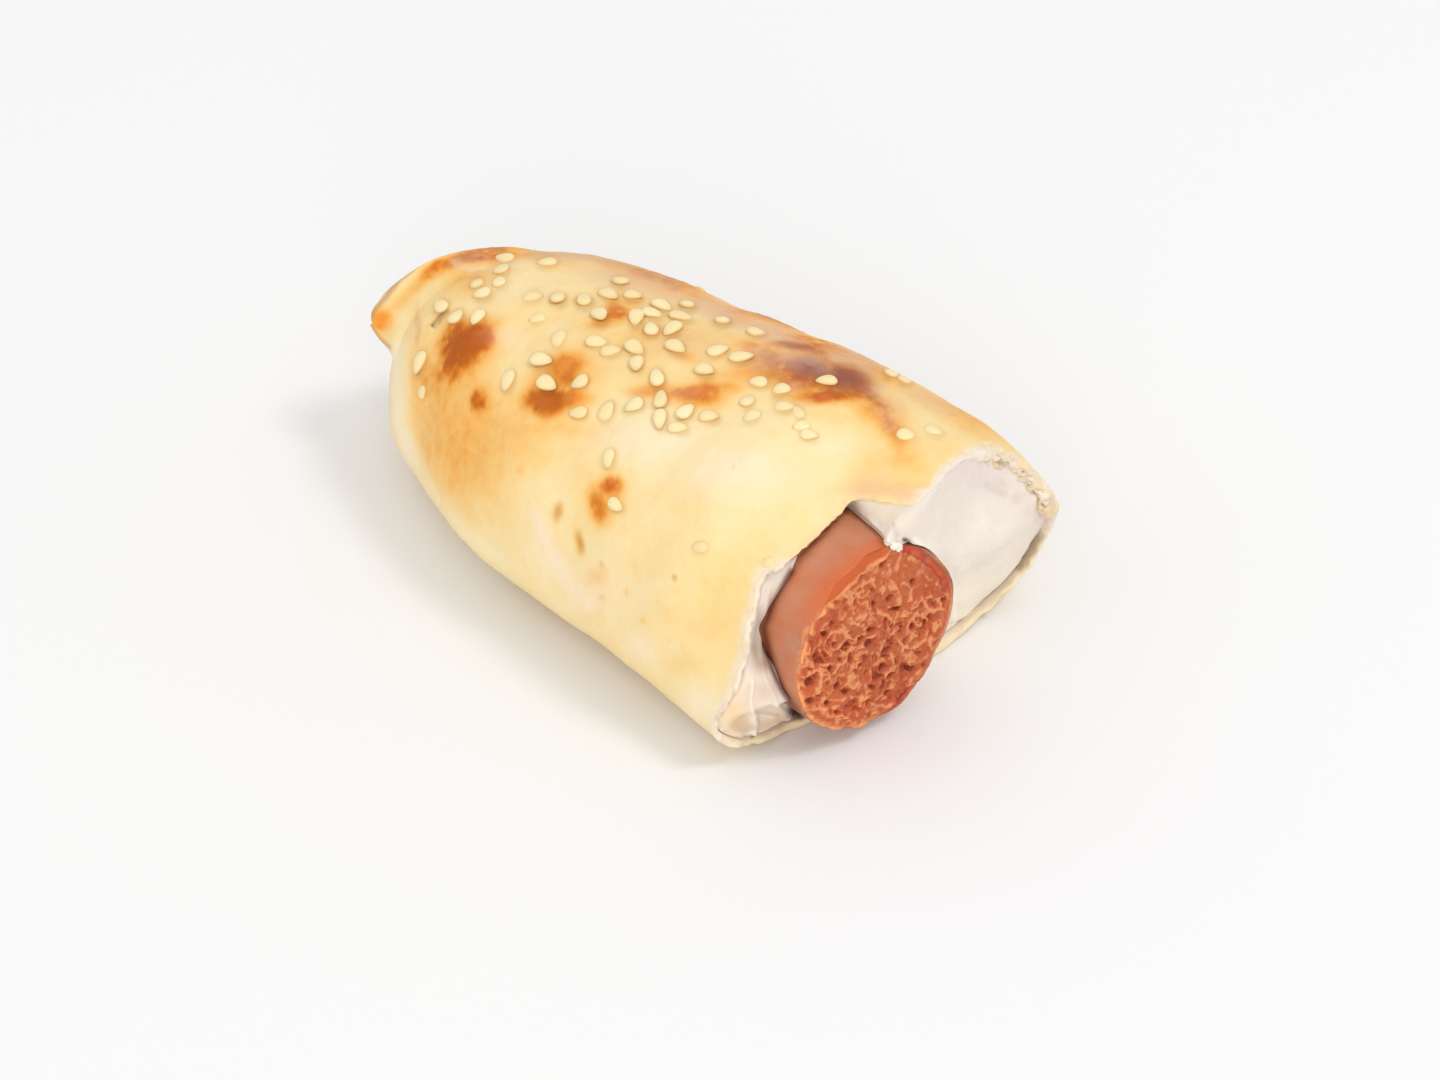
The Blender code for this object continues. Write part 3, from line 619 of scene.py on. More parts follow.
# ---------------------------------------------------------------- dough: degree of baking
# pixel u, v, half width, half height, angle, strength
TOASTED = [
    # dark patch near the closed end, with its redder right part and its tail
    (456, 342, 17, 17, 10, 0.56), (468, 334, 17, 10, 0, 0.36), (483, 337, 13, 12, 20, 0.50), (461, 357, 18, 15, 40, 0.46), (474, 347, 14, 12, 30, 0.30),
    (450, 374, 9, 12, 10, 0.30), (430, 378, 13, 16, 0, 0.20), (466, 350, 38, 34, 30, 0.22), (478, 322, 22, 7, 0, 0.10), (441, 395, 7, 10, 0, 0.08),
    # dark patch below the two seeds, and the orange one beside it
    (537, 399, 14, 12, 0, 0.55), (554, 400, 16, 11, 0, 0.52), (544, 410, 14, 9, 0, 0.25), (567, 399, 14, 8, 0, 0.22), (578, 398, 16, 7, 0, 0.26),
    (565, 366, 12, 13, 0, 0.56), (571, 380, 9, 10, 0, 0.22), (582, 358, 10, 12, 0, 0.20), (556, 388, 36, 34, 0, 0.24),
    (422, 345, 11, 34, 0, 0.09), (494, 322, 12, 8, 0, 0.10), (456, 374, 12, 8, 0, -0.08), (540, 375, 16, 8, 0, 0.11),
    (512, 402, 28, 18, 0, 0.08), (562, 428, 46, 9, 0, 0.12), (602, 440, 42, 16, 0, 0.05),
    # small marks on the near flank
    (478, 401, 8, 12, 5, 0.38), (478, 402, 17, 20, 0, 0.12),
    (612, 487, 11, 10, 10, 0.58), (598, 507, 9, 18, 15, 0.46), (604, 497, 26, 30, 10, 0.20),
    (616, 312, 12, 9, 0, 0.46), (600, 322, 16, 7, 10, 0.22), (626, 304, 22, 12, 0, 0.12),
    (558, 512, 5, 9, -10, 0.34), (579, 543, 5, 11, 10, 0.34), (598, 577, 11, 11, 0, 0.22),
    (600, 598, 3.2, 3.2, 0, 0.30), (626, 592, 2.6, 4.5, 0, 0.20), (674, 577, 2.8, 2.8, 0, 0.30), (641, 621, 3, 3, 0, 0.22),
    (686, 665, 15, 11, 0, 0.10), (520, 470, 5, 4, 0, 0.10),
    # reddish band under the middle seeds
    (705, 392, 22, 11, 5, 0.46), (680, 392, 26, 8, -4, 0.32), (646, 390, 22, 7, 0, 0.26), (700, 404, 26, 6, 0, 0.14), (690, 388, 52, 18, 0, 0.12),
    (688, 357, 11, 6, -10, 0.26), (735, 388, 14, 6, 0, 0.16), (652, 334, 36, 16, 0, 0.10),
    # large patch on the upper right
    (757, 349, 22, 8, -20, 0.27), (791, 346, 20, 4.2, -10, 0.56), (806, 350, 12, 3, -14, 0.20),
    (776, 362, 24, 13, -14, 0.18), (808, 371, 26, 13, -12, 0.44), (849, 380, 22, 12, -14, 0.58), (800, 382, 30, 10, -10, 0.18), (848, 357, 30, 6, -20, -0.20),
    (827, 396, 15, 6.5, 0, 0.66), (821, 396, 7, 5, 0, 0.42), (806, 396, 16, 7, 0, 0.20), (845, 396, 14, 6, 0, 0.26), (864, 390, 13, 9, -30, 0.34),
    (812, 372, 70, 30, -12, 0.16),
    (750, 372, 20, 9, 0, 0.13), (768, 349, 24, 6, -14, 0.08), (770, 361, 16, 7, -14, 0.08), (814, 360, 16, 6, -14, -0.06),
    (862, 371, 13, 9, -30, -0.20), (744, 374, 28, 9, 0, 0.08), (816, 408, 18, 8, 0, 0.08), (790, 384, 22, 7, -5, 0.08), (862, 405, 24, 9, -20, 0.15), (856, 421, 50, 16, 0, 0.09), (878, 426, 20, 10, 0, 0.08),
    (885, 405, 9, 7, -20, 0.26), (884, 418, 8, 16, 25, 0.20), (896, 434, 10, 16, 35, 0.26), (894, 412, 22, 18, -40, 0.14), (906, 452, 16, 16, -40, 0.12),
    (866, 411, 12, 9, 0, 0.13), (842, 416, 28, 9, 0, 0.04), (897, 420, 13, 10, 30, 0.09), (952, 440, 22, 16, 0, 0.04), (926, 470, 22, 12, -20, 0.05),
    (752, 366, 9, 6, -10, 0.10), (792, 397, 13, 6, 0, 0.10), (802, 387, 11, 5, 0, 0.08), (872, 397, 10, 7, -30, 0.16), (770, 373, 16, 8, -10, 0.10),
    # orange field on the near side of the closed end
    (452, 430, 46, 62, 0, 0.27), (425, 420, 22, 44, 0, 0.08), (468, 480, 34, 40, -30, 0.14), (500, 440, 34, 34, 0, 0.12),
    (505, 505, 30, 26, -40, 0.06), (540, 450, 30, 30, 0, 0.12),
    # along the ridge
    (560, 262, 34, 8, -3, 0.12), (618, 268, 32, 8, -14, 0.16), (668, 288, 36, 8, -20, 0.16), (724, 310, 34, 8, -24, 0.18),
    (772, 332, 26, 6, -24, 0.12), (640, 300, 40, 14, -16, 0.10), (705, 338, 44, 18, -14, 0.14), (860, 352, 34, 8, -28, 0.10),
    (930, 398, 34, 9, -30, 0.14), (985, 440, 26, 9, -38, 0.10), (640, 350, 56, 24, 0, 0.10), (590, 372, 26, 12, 0, 0.10),
    # yellow area over the white layer, and the soft orange edge along it
    (905, 462, 46, 22, -25, 0.12), (905, 488, 40, 10, -10, 0.14), (950, 455, 30, 14, -30, 0.08), (865, 470, 30, 20, 0, 0.08),
    # warmer yellow on the lower near side
    (725, 590, 42, 52, 0, 0.10), (700, 630, 30, 26, 0, 0.06), (640, 560, 24, 20, 0, 0.05), (690, 500, 60, 26, 0, 0.03),
    (560, 320, 60, 24, 0, 0.09), (556, 536, 20, 24, 0, 0.06), (862, 487, 24, 10, 0, 0.10), (905, 492, 34, 8, -6, 0.10),
    # the brim
    (383, 319, 9, 11, 0, 0.48), (376, 322, 6, 8, 0, 0.20), (400, 300, 14, 10, 45, 0.22), (417, 284, 16, 8, 38, 0.24), (433, 271, 14, 7, 32, 0.44),
    (452, 261, 18, 7, 12, 0.40), (475, 256, 20, 7, 0, 0.50), (505, 254, 14, 4, -4, 0.22), (540, 256, 24, 5, 0, 0.20),
    (434, 318, 14, 3, 48, 0.10), (417, 327, 3, 22, 0, 0.16), (412, 372, 3.5, 26, 2, 0.14),
]
# hidden side: X, direction in degrees, half length, half width (mm), strength
TOASTED_HIDDEN = [
    (-30, 62, 9, 5, 0.55), (-46, 44, 6, 8, 0.62), (-62, 58, 7, 5, 0.45), (-20, 30, 6, 6, 0.42), (-70, 30, 5, 7, 0.60),
    (-40, 16, 8, 4, 0.35), (-56, 8, 5, 4, 0.5), (-12, 48, 5, 6, 0.28), (-84, 60, 4, 8, 0.5), (-80, 100, 5, 5, 0.28),
    (-88, 20, 4, 6, 0.5), (-86, 170, 3, 5, 0.35), (-25, -10, 6, 3, 0.3), (-66, -5, 6, 3, 0.35),
]
flat = grid.reshape(-1, 3)
baking = 0.21 + 0.05 * fbm(flat * 0.10, 3, seed=2) + 0.05 * fbm(flat * 0.30, 3, seed=3) + 0.035 * fbm(flat * 0.85, 3, seed=4)
baking = baking.reshape(grid.shape[:2])
for u, v, a, b, angle, strength in TOASTED:
    baking = baking + strength * paint.spot(u, v, a, b, angle, 1.15)
warped = grid + 1.3 * np.stack([fbm(flat * 0.3 + o, 3, seed=60 + o).reshape(grid.shape[:2]) for o in (0, 1, 2)], -1)
for x, deg, a, b, strength in TOASTED_HIDDEN:
    p0 = wrap_xyz(np.array([float(x)]), np.array([np.radians(deg)]))[0]
    d = warped - p0
    r = np.sqrt((d[..., 0] / a) ** 2 + (np.linalg.norm(d[..., 1:], axis=-1) / b) ** 2)
    baking = baking + strength * np.exp(-r**2.4)
# the side that lay on the oven tray: evenly browned with darker mottling
below = ramp(-11.0, -14.2, grid[..., 2])
mottle = fbm(flat * 0.22, 4, seed=8).reshape(grid.shape[:2])
baking = baking + below * (0.22 + 0.32 * mottle)
grain = fbm(flat * 1.1, 3, seed=21).reshape(grid.shape[:2])
grain_fine = noise(flat * 2.6, seed=31).reshape(grid.shape[:2])
strong = ramp(0.35, 0.9, baking)
baking = baking * (1 + (0.10 + 0.26 * strong) * grain + 0.12 * strong * grain_fine)

baking = np.where(baking > 0.66, 0.66 + 0.34 * np.tanh((baking - 0.66) / 0.34), baking)

colour = toast_colour(np.clip(baking, 0, 1.2))

# tints: (list of marks, colour)
TINTS = [
    (ROSE, [(640, 283, 60, 12, -16, 0.62), (720, 312, 40, 10, -24, 0.72), (770, 332, 34, 11, -22, 0.75), (575, 258, 34, 6, 0, 0.5),
            (690, 345, 40, 12, -10, 0.25), (680, 391, 30, 8, 0, 0.25), (860, 354, 34, 10, -28, 0.6), (475, 256, 20, 6, 0, 0.3),
            (417, 327, 3.4, 22, 0, 0.45), (764, 356, 26, 12, -20, 0.55), (800, 353, 34, 5, -14, 0.45), (876, 388, 12, 10, -30, 0.5), (844, 358, 26, 6, -18, 0.6), (798, 360, 40, 12, -14, 0.65),
            (888, 420, 9, 18, 30, 0.35), (892, 408, 18, 14, -40, 0.4), (578, 258, 44, 5, -4, 0.45), (930, 400, 34, 8, -30, 0.35), (862, 489, 24, 8, 0, 0.55), (908, 494, 30, 7, -8, 0.5),
            (866, 371, 13, 8, -30, 0.45), (792, 385, 14, 6, 0, 0.35), (752, 366, 10, 6, -10, 0.4)]),
    (PLUM, [(776, 364, 20, 10, -14, 0.28), (812, 369, 26, 12, -10, 0.90), (846, 377, 25, 13, -12, 1.0), (793, 346, 22, 4.2, -10, 0.40),
            (864, 388, 12, 8, -30, 0.5), (874, 398, 10, 7, -35, 0.35), (774, 374, 18, 8, -12, 0.3)]),
    (PLUM_GREY, [(813, 361, 10, 3.5, -8, 0.55), (820, 369, 9, 5, 0, 0.3), (798, 366, 8, 4, 0, 0.25)]),
    (RED, [(823, 396, 10, 5, 0, 0.95), (806, 398, 12, 4, 0, 0.45), (482, 338, 12, 11, 30, 0.28), (612, 487, 8, 7, 0, 0.45), (705, 393, 18, 6, 0, 0.30),
           (640, 392, 14, 5, 0, 0.3), (616, 312, 10, 7, 0, 0.35)]),
    (ORANGE, [(565, 366, 12, 12, 0, 0.65), (543, 400, 14, 10, 0, 0.15), (576, 398, 14, 8, 0, 0.5), (540, 386, 16, 8, 0, 0.3), (690, 393, 34, 10, 0, 0.22), (740, 374, 26, 9, 0, 0.35), (383, 319, 9, 10, 0, 0.7), (430, 271, 10, 6, 35, 0.25), (598, 507, 7, 14, 10, 0.3)]),
    (CREAM, [(545, 536, 7, 18, 10, 0.2), (604, 592, 34, 26, -35, 0.25), (640, 648, 20, 14, -40, 0.35), (698, 706, 20, 16, -40, 0.45),
             (545, 560, 26, 14, -40, 0.2), (506, 335, 18, 10, 0, 0.20), (530, 290, 50, 14, 0, 0.15), (650, 440, 60, 26, 0, 0.35),
             (740, 470, 70, 30, 0, 0.35), (560, 330, 24, 12, 0, 0.10), (820, 440, 34, 16, -10, 0.2)]),
]
for tint, marks in TINTS:
    amount = np.zeros(grid.shape[:2])
    for u, v, a, b, angle, strength in marks:
        amount = np.maximum(amount, strength * paint.spot(u, v, a, b, angle, 1.2))
    colour = mix(colour, tint, amount)
for u, v, a, b, deep in [(674, 578, 2.6, 3.0, 0.6), (601, 565, 1.8, 2.2, 0.5), (657, 602, 1.5, 1.5, 0.4), (668, 640, 1.6, 1.4, 0.35), (707, 520, 1.8, 1.4, 0.35),
                         (733, 466, 1.6, 1.2, 0.3), (630, 470, 1.4, 1.4, 0.3)]:
    colour = mix(colour, seen(186, 158, 96), deep * paint.spot(u, v, a, b, 0, 1.2))
for u, v, a, b, angle, deep in [(558, 512, 4.0, 9.0, -10, 0.5), (579, 543, 4.0, 11.0, 10, 0.5), (422, 392, 3.0, 5.0, 0, 0.4)]:
    colour = mix(colour, seen(184, 140, 74), deep * paint.spot(u, v, a, b, angle, 1.2))
# painted shade: dark stroke in the slit beside the seed near the closed end
colour = mix(colour, seen(92, 64, 34), 0.8 * paint.line([(431, 325), (440, 315), (449, 307)], 1.7, taper=True))
# painted shade: the crust is a little darker right at each seed, most on the side turned to the camera
contact_shade = np.zeros(grid.shape[:2])
for u, v, angle, long_px, wide_px, deep in SEEDS:
    amount = (0.72 - 0.55 * deep) * paint.spot(u + 0.6, v + 1.3, long_px / 2 + 2.2, wide_px / 2 + 2.4, angle, 2.2)
    contact_shade = np.maximum(contact_shade, amount)
    lower = (0.62 - 0.5 * deep) * paint.spot(u + 1.6, v + 2.4, long_px / 2 + 0.8, wide_px / 2 + 0.8, angle, 3.0)
    contact_shade = np.maximum(contact_shade, lower)
colour = mix(colour, colour * np.array([0.68, 0.52, 0.34]), contact_shade)
# pale stripe down the closed end's outline
stripe = paint.line([(399, 346), (399, 380), (402, 420), (414, 462), (434, 500), (462, 533), (500, 560)], 8.5)
colour = mix(colour, toast_colour(np.array(0.10)), 0.75 * stripe)
colour = mix(colour, CREAM, 0.45 * paint.line([(393, 350), (393, 385), (397, 425), (408, 462)], 6.5))
# pale, faintly rosy streak down the near flank
colour = mix(colour, seen(254, 233, 206), 0.55 * paint.line([(536, 517), (547, 545), (564, 578), (588, 606)], 8.0))
# painted shade: duller, greyer gold above the white layer
colour = mix(colour, seen(240, 207, 160), 0.5 * np.maximum(paint.spot(876, 481, 24, 13, 0, 1.2), paint.spot(908, 492, 24, 7, -6, 1.2)))
# painted shade: browner along the ridge, where it turns away
colour = mix(colour, seen(208, 156, 118), 0.45 * paint.line([(528, 253), (560, 253), (596, 257), (632, 266), (676, 284)], 4.5))
# painted shade: thin darker line where the brim's edge turns away
colour = mix(colour, seen(168, 104, 74), 0.6 * paint.line([(369, 321), (382, 299), (398, 279), (418, 262), (438, 251), (470, 247), (505, 248)], 3.2))
colour = mix(colour, seen(176, 112, 66), 0.45 * paint.line([(372, 325), (380, 338), (390, 347)], 2.2))
colour = mix(colour, toast_colour(np.array(0.02)), 0.35 * paint.line([(455, 262), (470, 268), (500, 266), (530, 262)], 5.0))

# ---------------------------------------------------------------- dough: torn lip
from_lip = np.concatenate([lip_xs[None] - outer[..., 0], np.zeros((N_ROWS - N_OUT, N_COL))])
lip_noise = fbm(flat * 0.9, 3, seed=77).reshape(grid.shape[:2])
thin = np.zeros(grid.shape[:2])
thin[is_outer] = 1 - ramp(0.2, 1.7, from_lip[is_outer] + 0.5 * lip_noise[is_outer])
near_tear = (ramp(122, 130, phi_deg) * (1 - ramp(190, 225, phi_deg)))[None]
top_tear = (ramp(56, 68, phi_deg) * (1 - ramp(122, 130, phi_deg)))[None]
crumb_tear = (ramp(4, 16, phi_deg) * (1 - ramp(56, 68, phi_deg)))[None]
under_tear = 1 - near_tear - top_tear - crumb_tear
colour = mix(colour, CRUMB, thin * (0.10 + 0.55 * near_tear + 0.35 * crumb_tear))
lip_t = np.linspace(0, 1, N_LIP + 2)[1:-1, None]                # 0 outside, 1 inside
rim = np.zeros(grid.shape)
rim[:] = CRUMB
rim = mix(rim, toast_colour(np.array(0.26)), 0.95 * top_tear + 0 * lip_noise)
over_link = (ramp(92, 97, phi_deg) * (1 - ramp(122, 130, phi_deg)))[None]
lip_share = np.zeros(N_ROWS)
lip_share[is_lip] = np.linspace(0, 1, N_LIP)
# painted shade: over the sausage the lip's inner half is dark brown, for the shadowed gap under the crust
rim = mix(rim, seen(150, 84, 46), 0.9 * over_link * ramp(0.15, 0.6, lip_share)[:, None])
rim = mix(rim, toast_colour(np.array(0.12)), 0.75 * under_tear + 0 * lip_noise)
rim = mix(rim, CRUMB_PORE, (0.15 + 0.5 * lip_noise) * (1 - top_tear))
far_low = np.where(phi_deg > 200, ramp(290, 300, phi_deg), 1 - ramp(-1, 4, phi_deg))[None]
far_low = far_low * np.where(phi_deg > 200, 0.35 + 0.65 * ramp(336, 350, phi_deg), 1.0)[None]
far_side = (ramp(-1, 4, phi_deg) * (1 - ramp(18, 28, phi_deg)))[None]
# painted shade: tan on the lip's inner rows round the far lower side, beside the gap to the white layer
rim = mix(rim, seen(196, 172, 140), 0.8 * far_low * under_tear * ramp(0.55, 0.9, lip_share)[:, None] + 0 * lip_noise)
rim = mix(rim, seen(240, 224, 206), 0.9 * far_side + 0 * lip_noise)
soft_top = (ramp(50, 60, phi_deg) * (1 - ramp(84, 89, phi_deg)))[None]
rim = mix(rim, seen(240, 228, 212), 0.95 * soft_top + 0 * lip_noise)
colour[is_lip] = rim[is_lip]
# the crust's inside: crumb colour, pale on the far side, with painted shade: dark brown over the sausage and tan round
# the far lower side
inside_shade = mix(np.broadcast_to(CRUMB, grid.shape).copy(), seen(150, 92, 60), 0.85 * over_link + 0 * lip_noise)
inside_shade = mix(inside_shade, seen(190, 166, 134), 0.8 * under_tear * far_low + 0 * lip_noise)
inside_shade = mix(inside_shade, seen(240, 224, 206), 0.9 * far_side + 0 * lip_noise)
fading = np.zeros(grid.shape[:2])
fading[is_outer] = (1 - ramp(0.1, 1.5, from_lip[is_outer] + 0.9 * lip_noise[is_outer])) ** 1.3
colour = mix(colour, seen(243, 231, 212), 0.92 * fading * soft_top)
colour[~(is_outer | is_lip)] = inside_shade[~(is_outer | is_lip)]
# painted shade: dark spot in the hole under the sausage
colour = mix(colour, seen(120, 58, 24) * 0.7, 0.9 * paint.spot(799, 715, 8, 4.5, -20, 1.6))

# ---------------------------------------------------------------- dough: relief
relief = 0.20 * fbm(flat * 0.085, 3, seed=12) + 0.13 * fbm(flat * 0.24, 3, seed=13) + 0.035 * fbm(flat * 0.9, 3, seed=14)
relief = relief.reshape(grid.shape[:2]) - 0.10
relief = relief + 0.16 * ramp(0.45, 0.95, baking) + 0.05 * ramp(0.5, 1.0, baking) * grain
relief = relief * (1 - below)
relief = relief + 0.7 * np.exp(-((phi_deg[None] - 224) / 15) ** 2) * np.exp(-((grid[..., 0] + 15.0) / 5.5) ** 2)
# short wrinkles and dents where the crust gives
for pixels, width, depth in [
        ([(417, 300), (416, 330), (412, 360), (413, 395)], 3.0, -0.08),
        ([(433, 326), (441, 318), (450, 309)], 2.2, -0.45),
        ([(665, 389), (688, 384), (700, 385)], 2.4, -0.20),
        ([(436, 492), (440, 506)], 2.0, -0.25),
        ([(800, 556), (822, 532), (850, 503)], 5.0, -0.15),
        ([(480, 268), (497, 269)], 2.2, -0.25)]:
    relief = relief + depth * paint.line(pixels, width, taper=True)
crumbs = fbm(flat * 1.6, 3, seed=33).reshape(grid.shape[:2])
f1, f2, own = worley(flat[(N_OUT - 6) * N_COL:] * 1.15, seed=19)
pores = np.zeros(grid.shape[:2]).reshape(-1)
pores[(N_OUT - 6) * N_COL:] = ramp(0.42, 0.12, f1) * ramp(0.35, 0.6, own)
pores = pores.reshape(grid.shape[:2])
fade = np.zeros(N_ROWS)
fade[is_lip] = 1.0
fade[N_OUT - 6:N_OUT] = np.linspace(0.1, 1.0, 6)
fade[N_OUT + N_LIP:N_OUT + N_LIP + 4] = [0.8, 0.5, 0.3, 0.1]
porous = (0.35 + 0.65 * ramp(8, 22, phi_deg) * (1 - ramp(50, 66, phi_deg)))[None]
relief = relief * (1 - 0.7 * fade[:, None]) + fade[:, None] * (0.16 * crumbs - 0.45 * pores * porous)
# pores darker: partly the crumb's own colour, partly painted shade in the holes
colour = mix(colour, CRUMB_PORE * 0.85, 0.9 * pores * fade[:, None] * porous)
relief[~(is_outer | is_lip)] *= fade[~(is_outer | is_lip), None]
grid = grid + normals * relief[..., None]

lo = np.array(cad_lo) / MM + CENTRE + 0.02
hi = np.array(cad_hi) / MM + CENTRE - 0.02
grid = np.clip(grid, lo, hi)
grid[..., 2] = np.maximum(grid[..., 2], FLOOR)

back_pole = wrap_xyz(np.array([X_BACK]), np.array([0.0]))
inner_pole = wrap_xyz(np.array([X_BACK + WALL]), np.array([0.0]), WALL)
points = np.concatenate([back_pole, grid.reshape(-1, 3), inner_pole])
tones = np.concatenate([colour[0].mean(0)[None], colour.reshape(-1, 3), CRUMB[None]])
dough = make_object("dough_crust", points, tube_faces(N_ROWS, N_COL, 0, len(points) - 1), tones)
print("dough volume mm3", faces_out(dough), "faces", len(dough.data.polygons))

# tree of the finished outside, for the seeds
seed_tree = BVHTree.FromPolygons([Vector(p) for p in grid[:N_OUT + N_LIP].reshape(-1, 3)], quads)

# ---------------------------------------------------------------- torn crumb on the crust's far upper edge
N_CC, N_CR = 320, 60
cdeg = np.linspace(2, 68, N_CC)
crumb_x = np.interp(cdeg, phi_deg[:len(phi_deg) - 44], lip_xs[:len(phi_deg) - 44])
kernel = np.hanning(9) / np.hanning(9).sum()
crumb_x = np.convolve(np.pad(crumb_x, 4, mode="edge"), kernel, "valid")
share = np.linspace(0, 1, N_CC)
swell = np.maximum(ramp(0.02, 0.24, share) * (1 - ramp(0.80, 1.0, share)), 0.06)
swell = swell * (1 + 0.16 * noise(np.stack([share * 14, 0 * share, 0 * share], -1), seed=401))
inset_mid = 0.10 + 1.22 * swell
middle = wrap_xyz(crumb_x - 0.30, np.radians(cdeg), inset_mid)
outward = wrap_xyz(crumb_x - 0.30, np.radians(cdeg), 0.0) - wrap_xyz(crumb_x - 0.30, np.radians(cdeg), 1.0)
outward /= np.linalg.norm(outward, axis=1, keepdims=True)
around = np.arange(N_CR) / N_CR * 2 * np.pi
ca, sa = np.cos(around), np.sin(around)
ca, sa = np.sign(ca) * np.abs(ca) ** 0.9, np.sign(sa) * np.abs(sa) ** 0.75
band = (middle[:, None] + outward[:, None] * (1.36 * swell)[:, None, None] * ca[None, :, None]
        + np.array([1.0, 0, 0]) * (0.86 * swell)[:, None, None] * sa[None, :, None])
bn = grid_normals(band)
if (bn[N_CC // 2, 0] @ outward[N_CC // 2]) < 0:
    bn = -bn
bflat = band + 0.35 * np.stack([fbm(band * 0.8 + o, 2, seed=410 + o) for o in (0, 1, 2)], -1)
f1, f2, own = worley(bflat * 0.62, seed=421)
big = ramp(0.50, 0.14, f1) * ramp(0.40, 0.60, own)
f1, f2, own = worley(bflat * 1.25, seed=431)
little = ramp(0.50, 0.14, f1) * ramp(0.45, 0.62, own)
inner_side = (0.35 + 0.65 * ramp(0.8, 0.1, ca))[None]
lumps = 0.22 * fbm(band * 0.75, 3, seed=441) + 0.10 * fbm(band * 2.2, 2, seed=442)
bu, bv = project(band)
drawn_pit = np.zeros(band.shape[:2])
for u, v, a, b, turn in [(1022, 474, 4.2, 4.0, 0), (1037, 496, 4.6, 5.0, 0), (997, 459, 7.5, 2.8, -50), (1012, 462, 3.6, 3.0, 0), (1029, 485, 3.2, 2.6, 0),
                         (1006, 469, 3.0, 2.4, 0), (1016, 484, 2.6, 2.2, 0), (1032, 479, 2.4, 2.4, 0)]:
    c, s_ = np.cos(np.radians(turn)), np.sin(np.radians(turn))
    e1, e2 = (bu - u) * c - (bv - v) * s_, -(bu - u) * s_ - (bv - v) * c
    drawn_pit = np.maximum(drawn_pit, np.exp(-((e1 / a) ** 2 + (e2 / b) ** 2) ** 1.4))
drawn_pit = drawn_pit * (bn @ (EYE / np.linalg.norm(EYE)) > 0.1)
move = lumps - (0.80 * big + 0.30 * little) * inner_side - 0.85 * drawn_pit
band = band + bn * (move * np.minimum(swell * 1.3, 1)[:, None])[..., None]
band = np.clip(band, lo, hi)
bt = mix(np.broadcast_to(seen(236, 218, 190), band.shape).copy(), seen(214, 194, 176), 0.35 + 0.9 * fbm(bflat * 0.6, 2, seed=451))
bt = mix(bt, seen(236, 210, 158), 0.5 * ramp(-0.1, 0.3, fbm(bflat * 0.5 + 9, 2, seed=452)))
bt = mix(bt, toast_colour(np.array(0.24)), ramp(0.55, 0.95, ca)[None] + 0 * big)
# pores darker on the inner side: partly the crumb's own colour, partly painted shade in the holes
bt = mix(bt, seen(206, 186, 168), 0.7 * little * inner_side)
bt = mix(bt, seen(146, 118, 96), 0.85 * big * inner_side)
bt = mix(bt, seen(126, 96, 72), 0.9 * drawn_pit)
bt = mix(bt, seen(240, 222, 206), (1 - ramp(0.08, 0.26, share))[:, None] + 0 * big)
ends = np.stack([band[0].mean(0), band[-1].mean(0)])
points = np.concatenate([ends[:1], band.reshape(-1, 3), ends[1:]])
tones = np.concatenate([bt[0].mean(0)[None], bt.reshape(-1, 3), bt[-1].mean(0)[None]])
crumb = make_object("torn_crumb", points, tube_faces(N_CC, N_CR, 0, len(points) - 1), tones)
faces_out(crumb)

# ---------------------------------------------------------------- sausage
N_S = 540
psi = np.arange(N_S) / N_S * 2 * np.pi
rings, tones = [], []
end_rings = SAUSAGE_END + SAUSAGE_R * (1 - np.cos(np.arange(1, 11) / 10 * np.pi / 2))
body = np.concatenate([np.linspace(end_rings[-1], -16, 8)[1:], np.linspace(-16, -3.2, 22)[1:], np.linspace(-3.2, -1.0, 17)[1:]])
SKIN = seen(210, 127, 82)
SKIN_DARK = seen(192, 104, 58)
SKIN_PINK = seen(200, 139, 110)
SKIN_GLOW = seen(222, 100, 38)
FLESH = seen(196, 95, 46)
FLESH_LIGHT = seen(236, 154, 98)
FLESH_DARK = seen(130, 40, 2)
FLESH_RED = seen(186, 77, 40)
CUT_RED = seen(190, 48, 10)
for x in np.concatenate([end_rings, body]):
    r = sausage_radius(x)
    p = np.stack([np.full(N_S, x), sausage_axis(x) + r * np.cos(psi), r * np.sin(psi)], 1)
    rings.append(p)
skin_rows = len(rings)
skin = np.array(rings)
# skin: faint lengthwise wrinkles
sp = skin * np.array([0.12, 0.55, 0.55])
dent = 0.05 * fbm(sp, 3, seed=3).reshape(skin.shape[:2]) + 0.03 * fbm(skin * 0.8, 3, seed=4)
radial_dir = np.stack([np.zeros(N_S), np.cos(psi), np.sin(psi)], 1)[None]
skin = skin + radial_dir * (dent - 0.04)[..., None]

# torn face
N_F = 112
q = np.concatenate([[1.0, 1.0], np.linspace(1.0, 0.0, N_F + 1)[:-1] ** 1.0])[2:]
rho = SAUSAGE_R * q[:, None] * np.ones(N_S)
P = psi[None] * np.ones((len(q), 1))
fy, fz = rho * np.cos(P), rho * np.sin(P)
flat_face = np.stack([np.zeros_like(fy), fy, fz], -1)
warp = np.stack([0 * fy, fbm(flat_face * 0.28, 2, seed=51), fbm(flat_face * 0.28, 2, seed=52)], -1)
small = np.stack([0 * fy, fbm(flat_face * 0.9, 2, seed=53), fbm(flat_face * 0.9, 2, seed=54)], -1)
pf = flat_face + 0.8 * warp + 0.35 * small
rimness = ramp(0.62, 0.95, q)[:, None]
# meat grain: small pits and meandering ridges, drawn out along the rim near the skin
ring_coord = np.stack([rho * 1.3, 0.55 * SAUSAGE_R * np.cos(P), 0.55 * SAUSAGE_R * np.sin(P)], -1) + 0.8 * warp
calm = ramp(-0.15, 0.35, fbm(flat_face * 0.20 + 3.1, 2, seed=61) + 0.35 * np.cos(P - 0.3) * q[:, None])


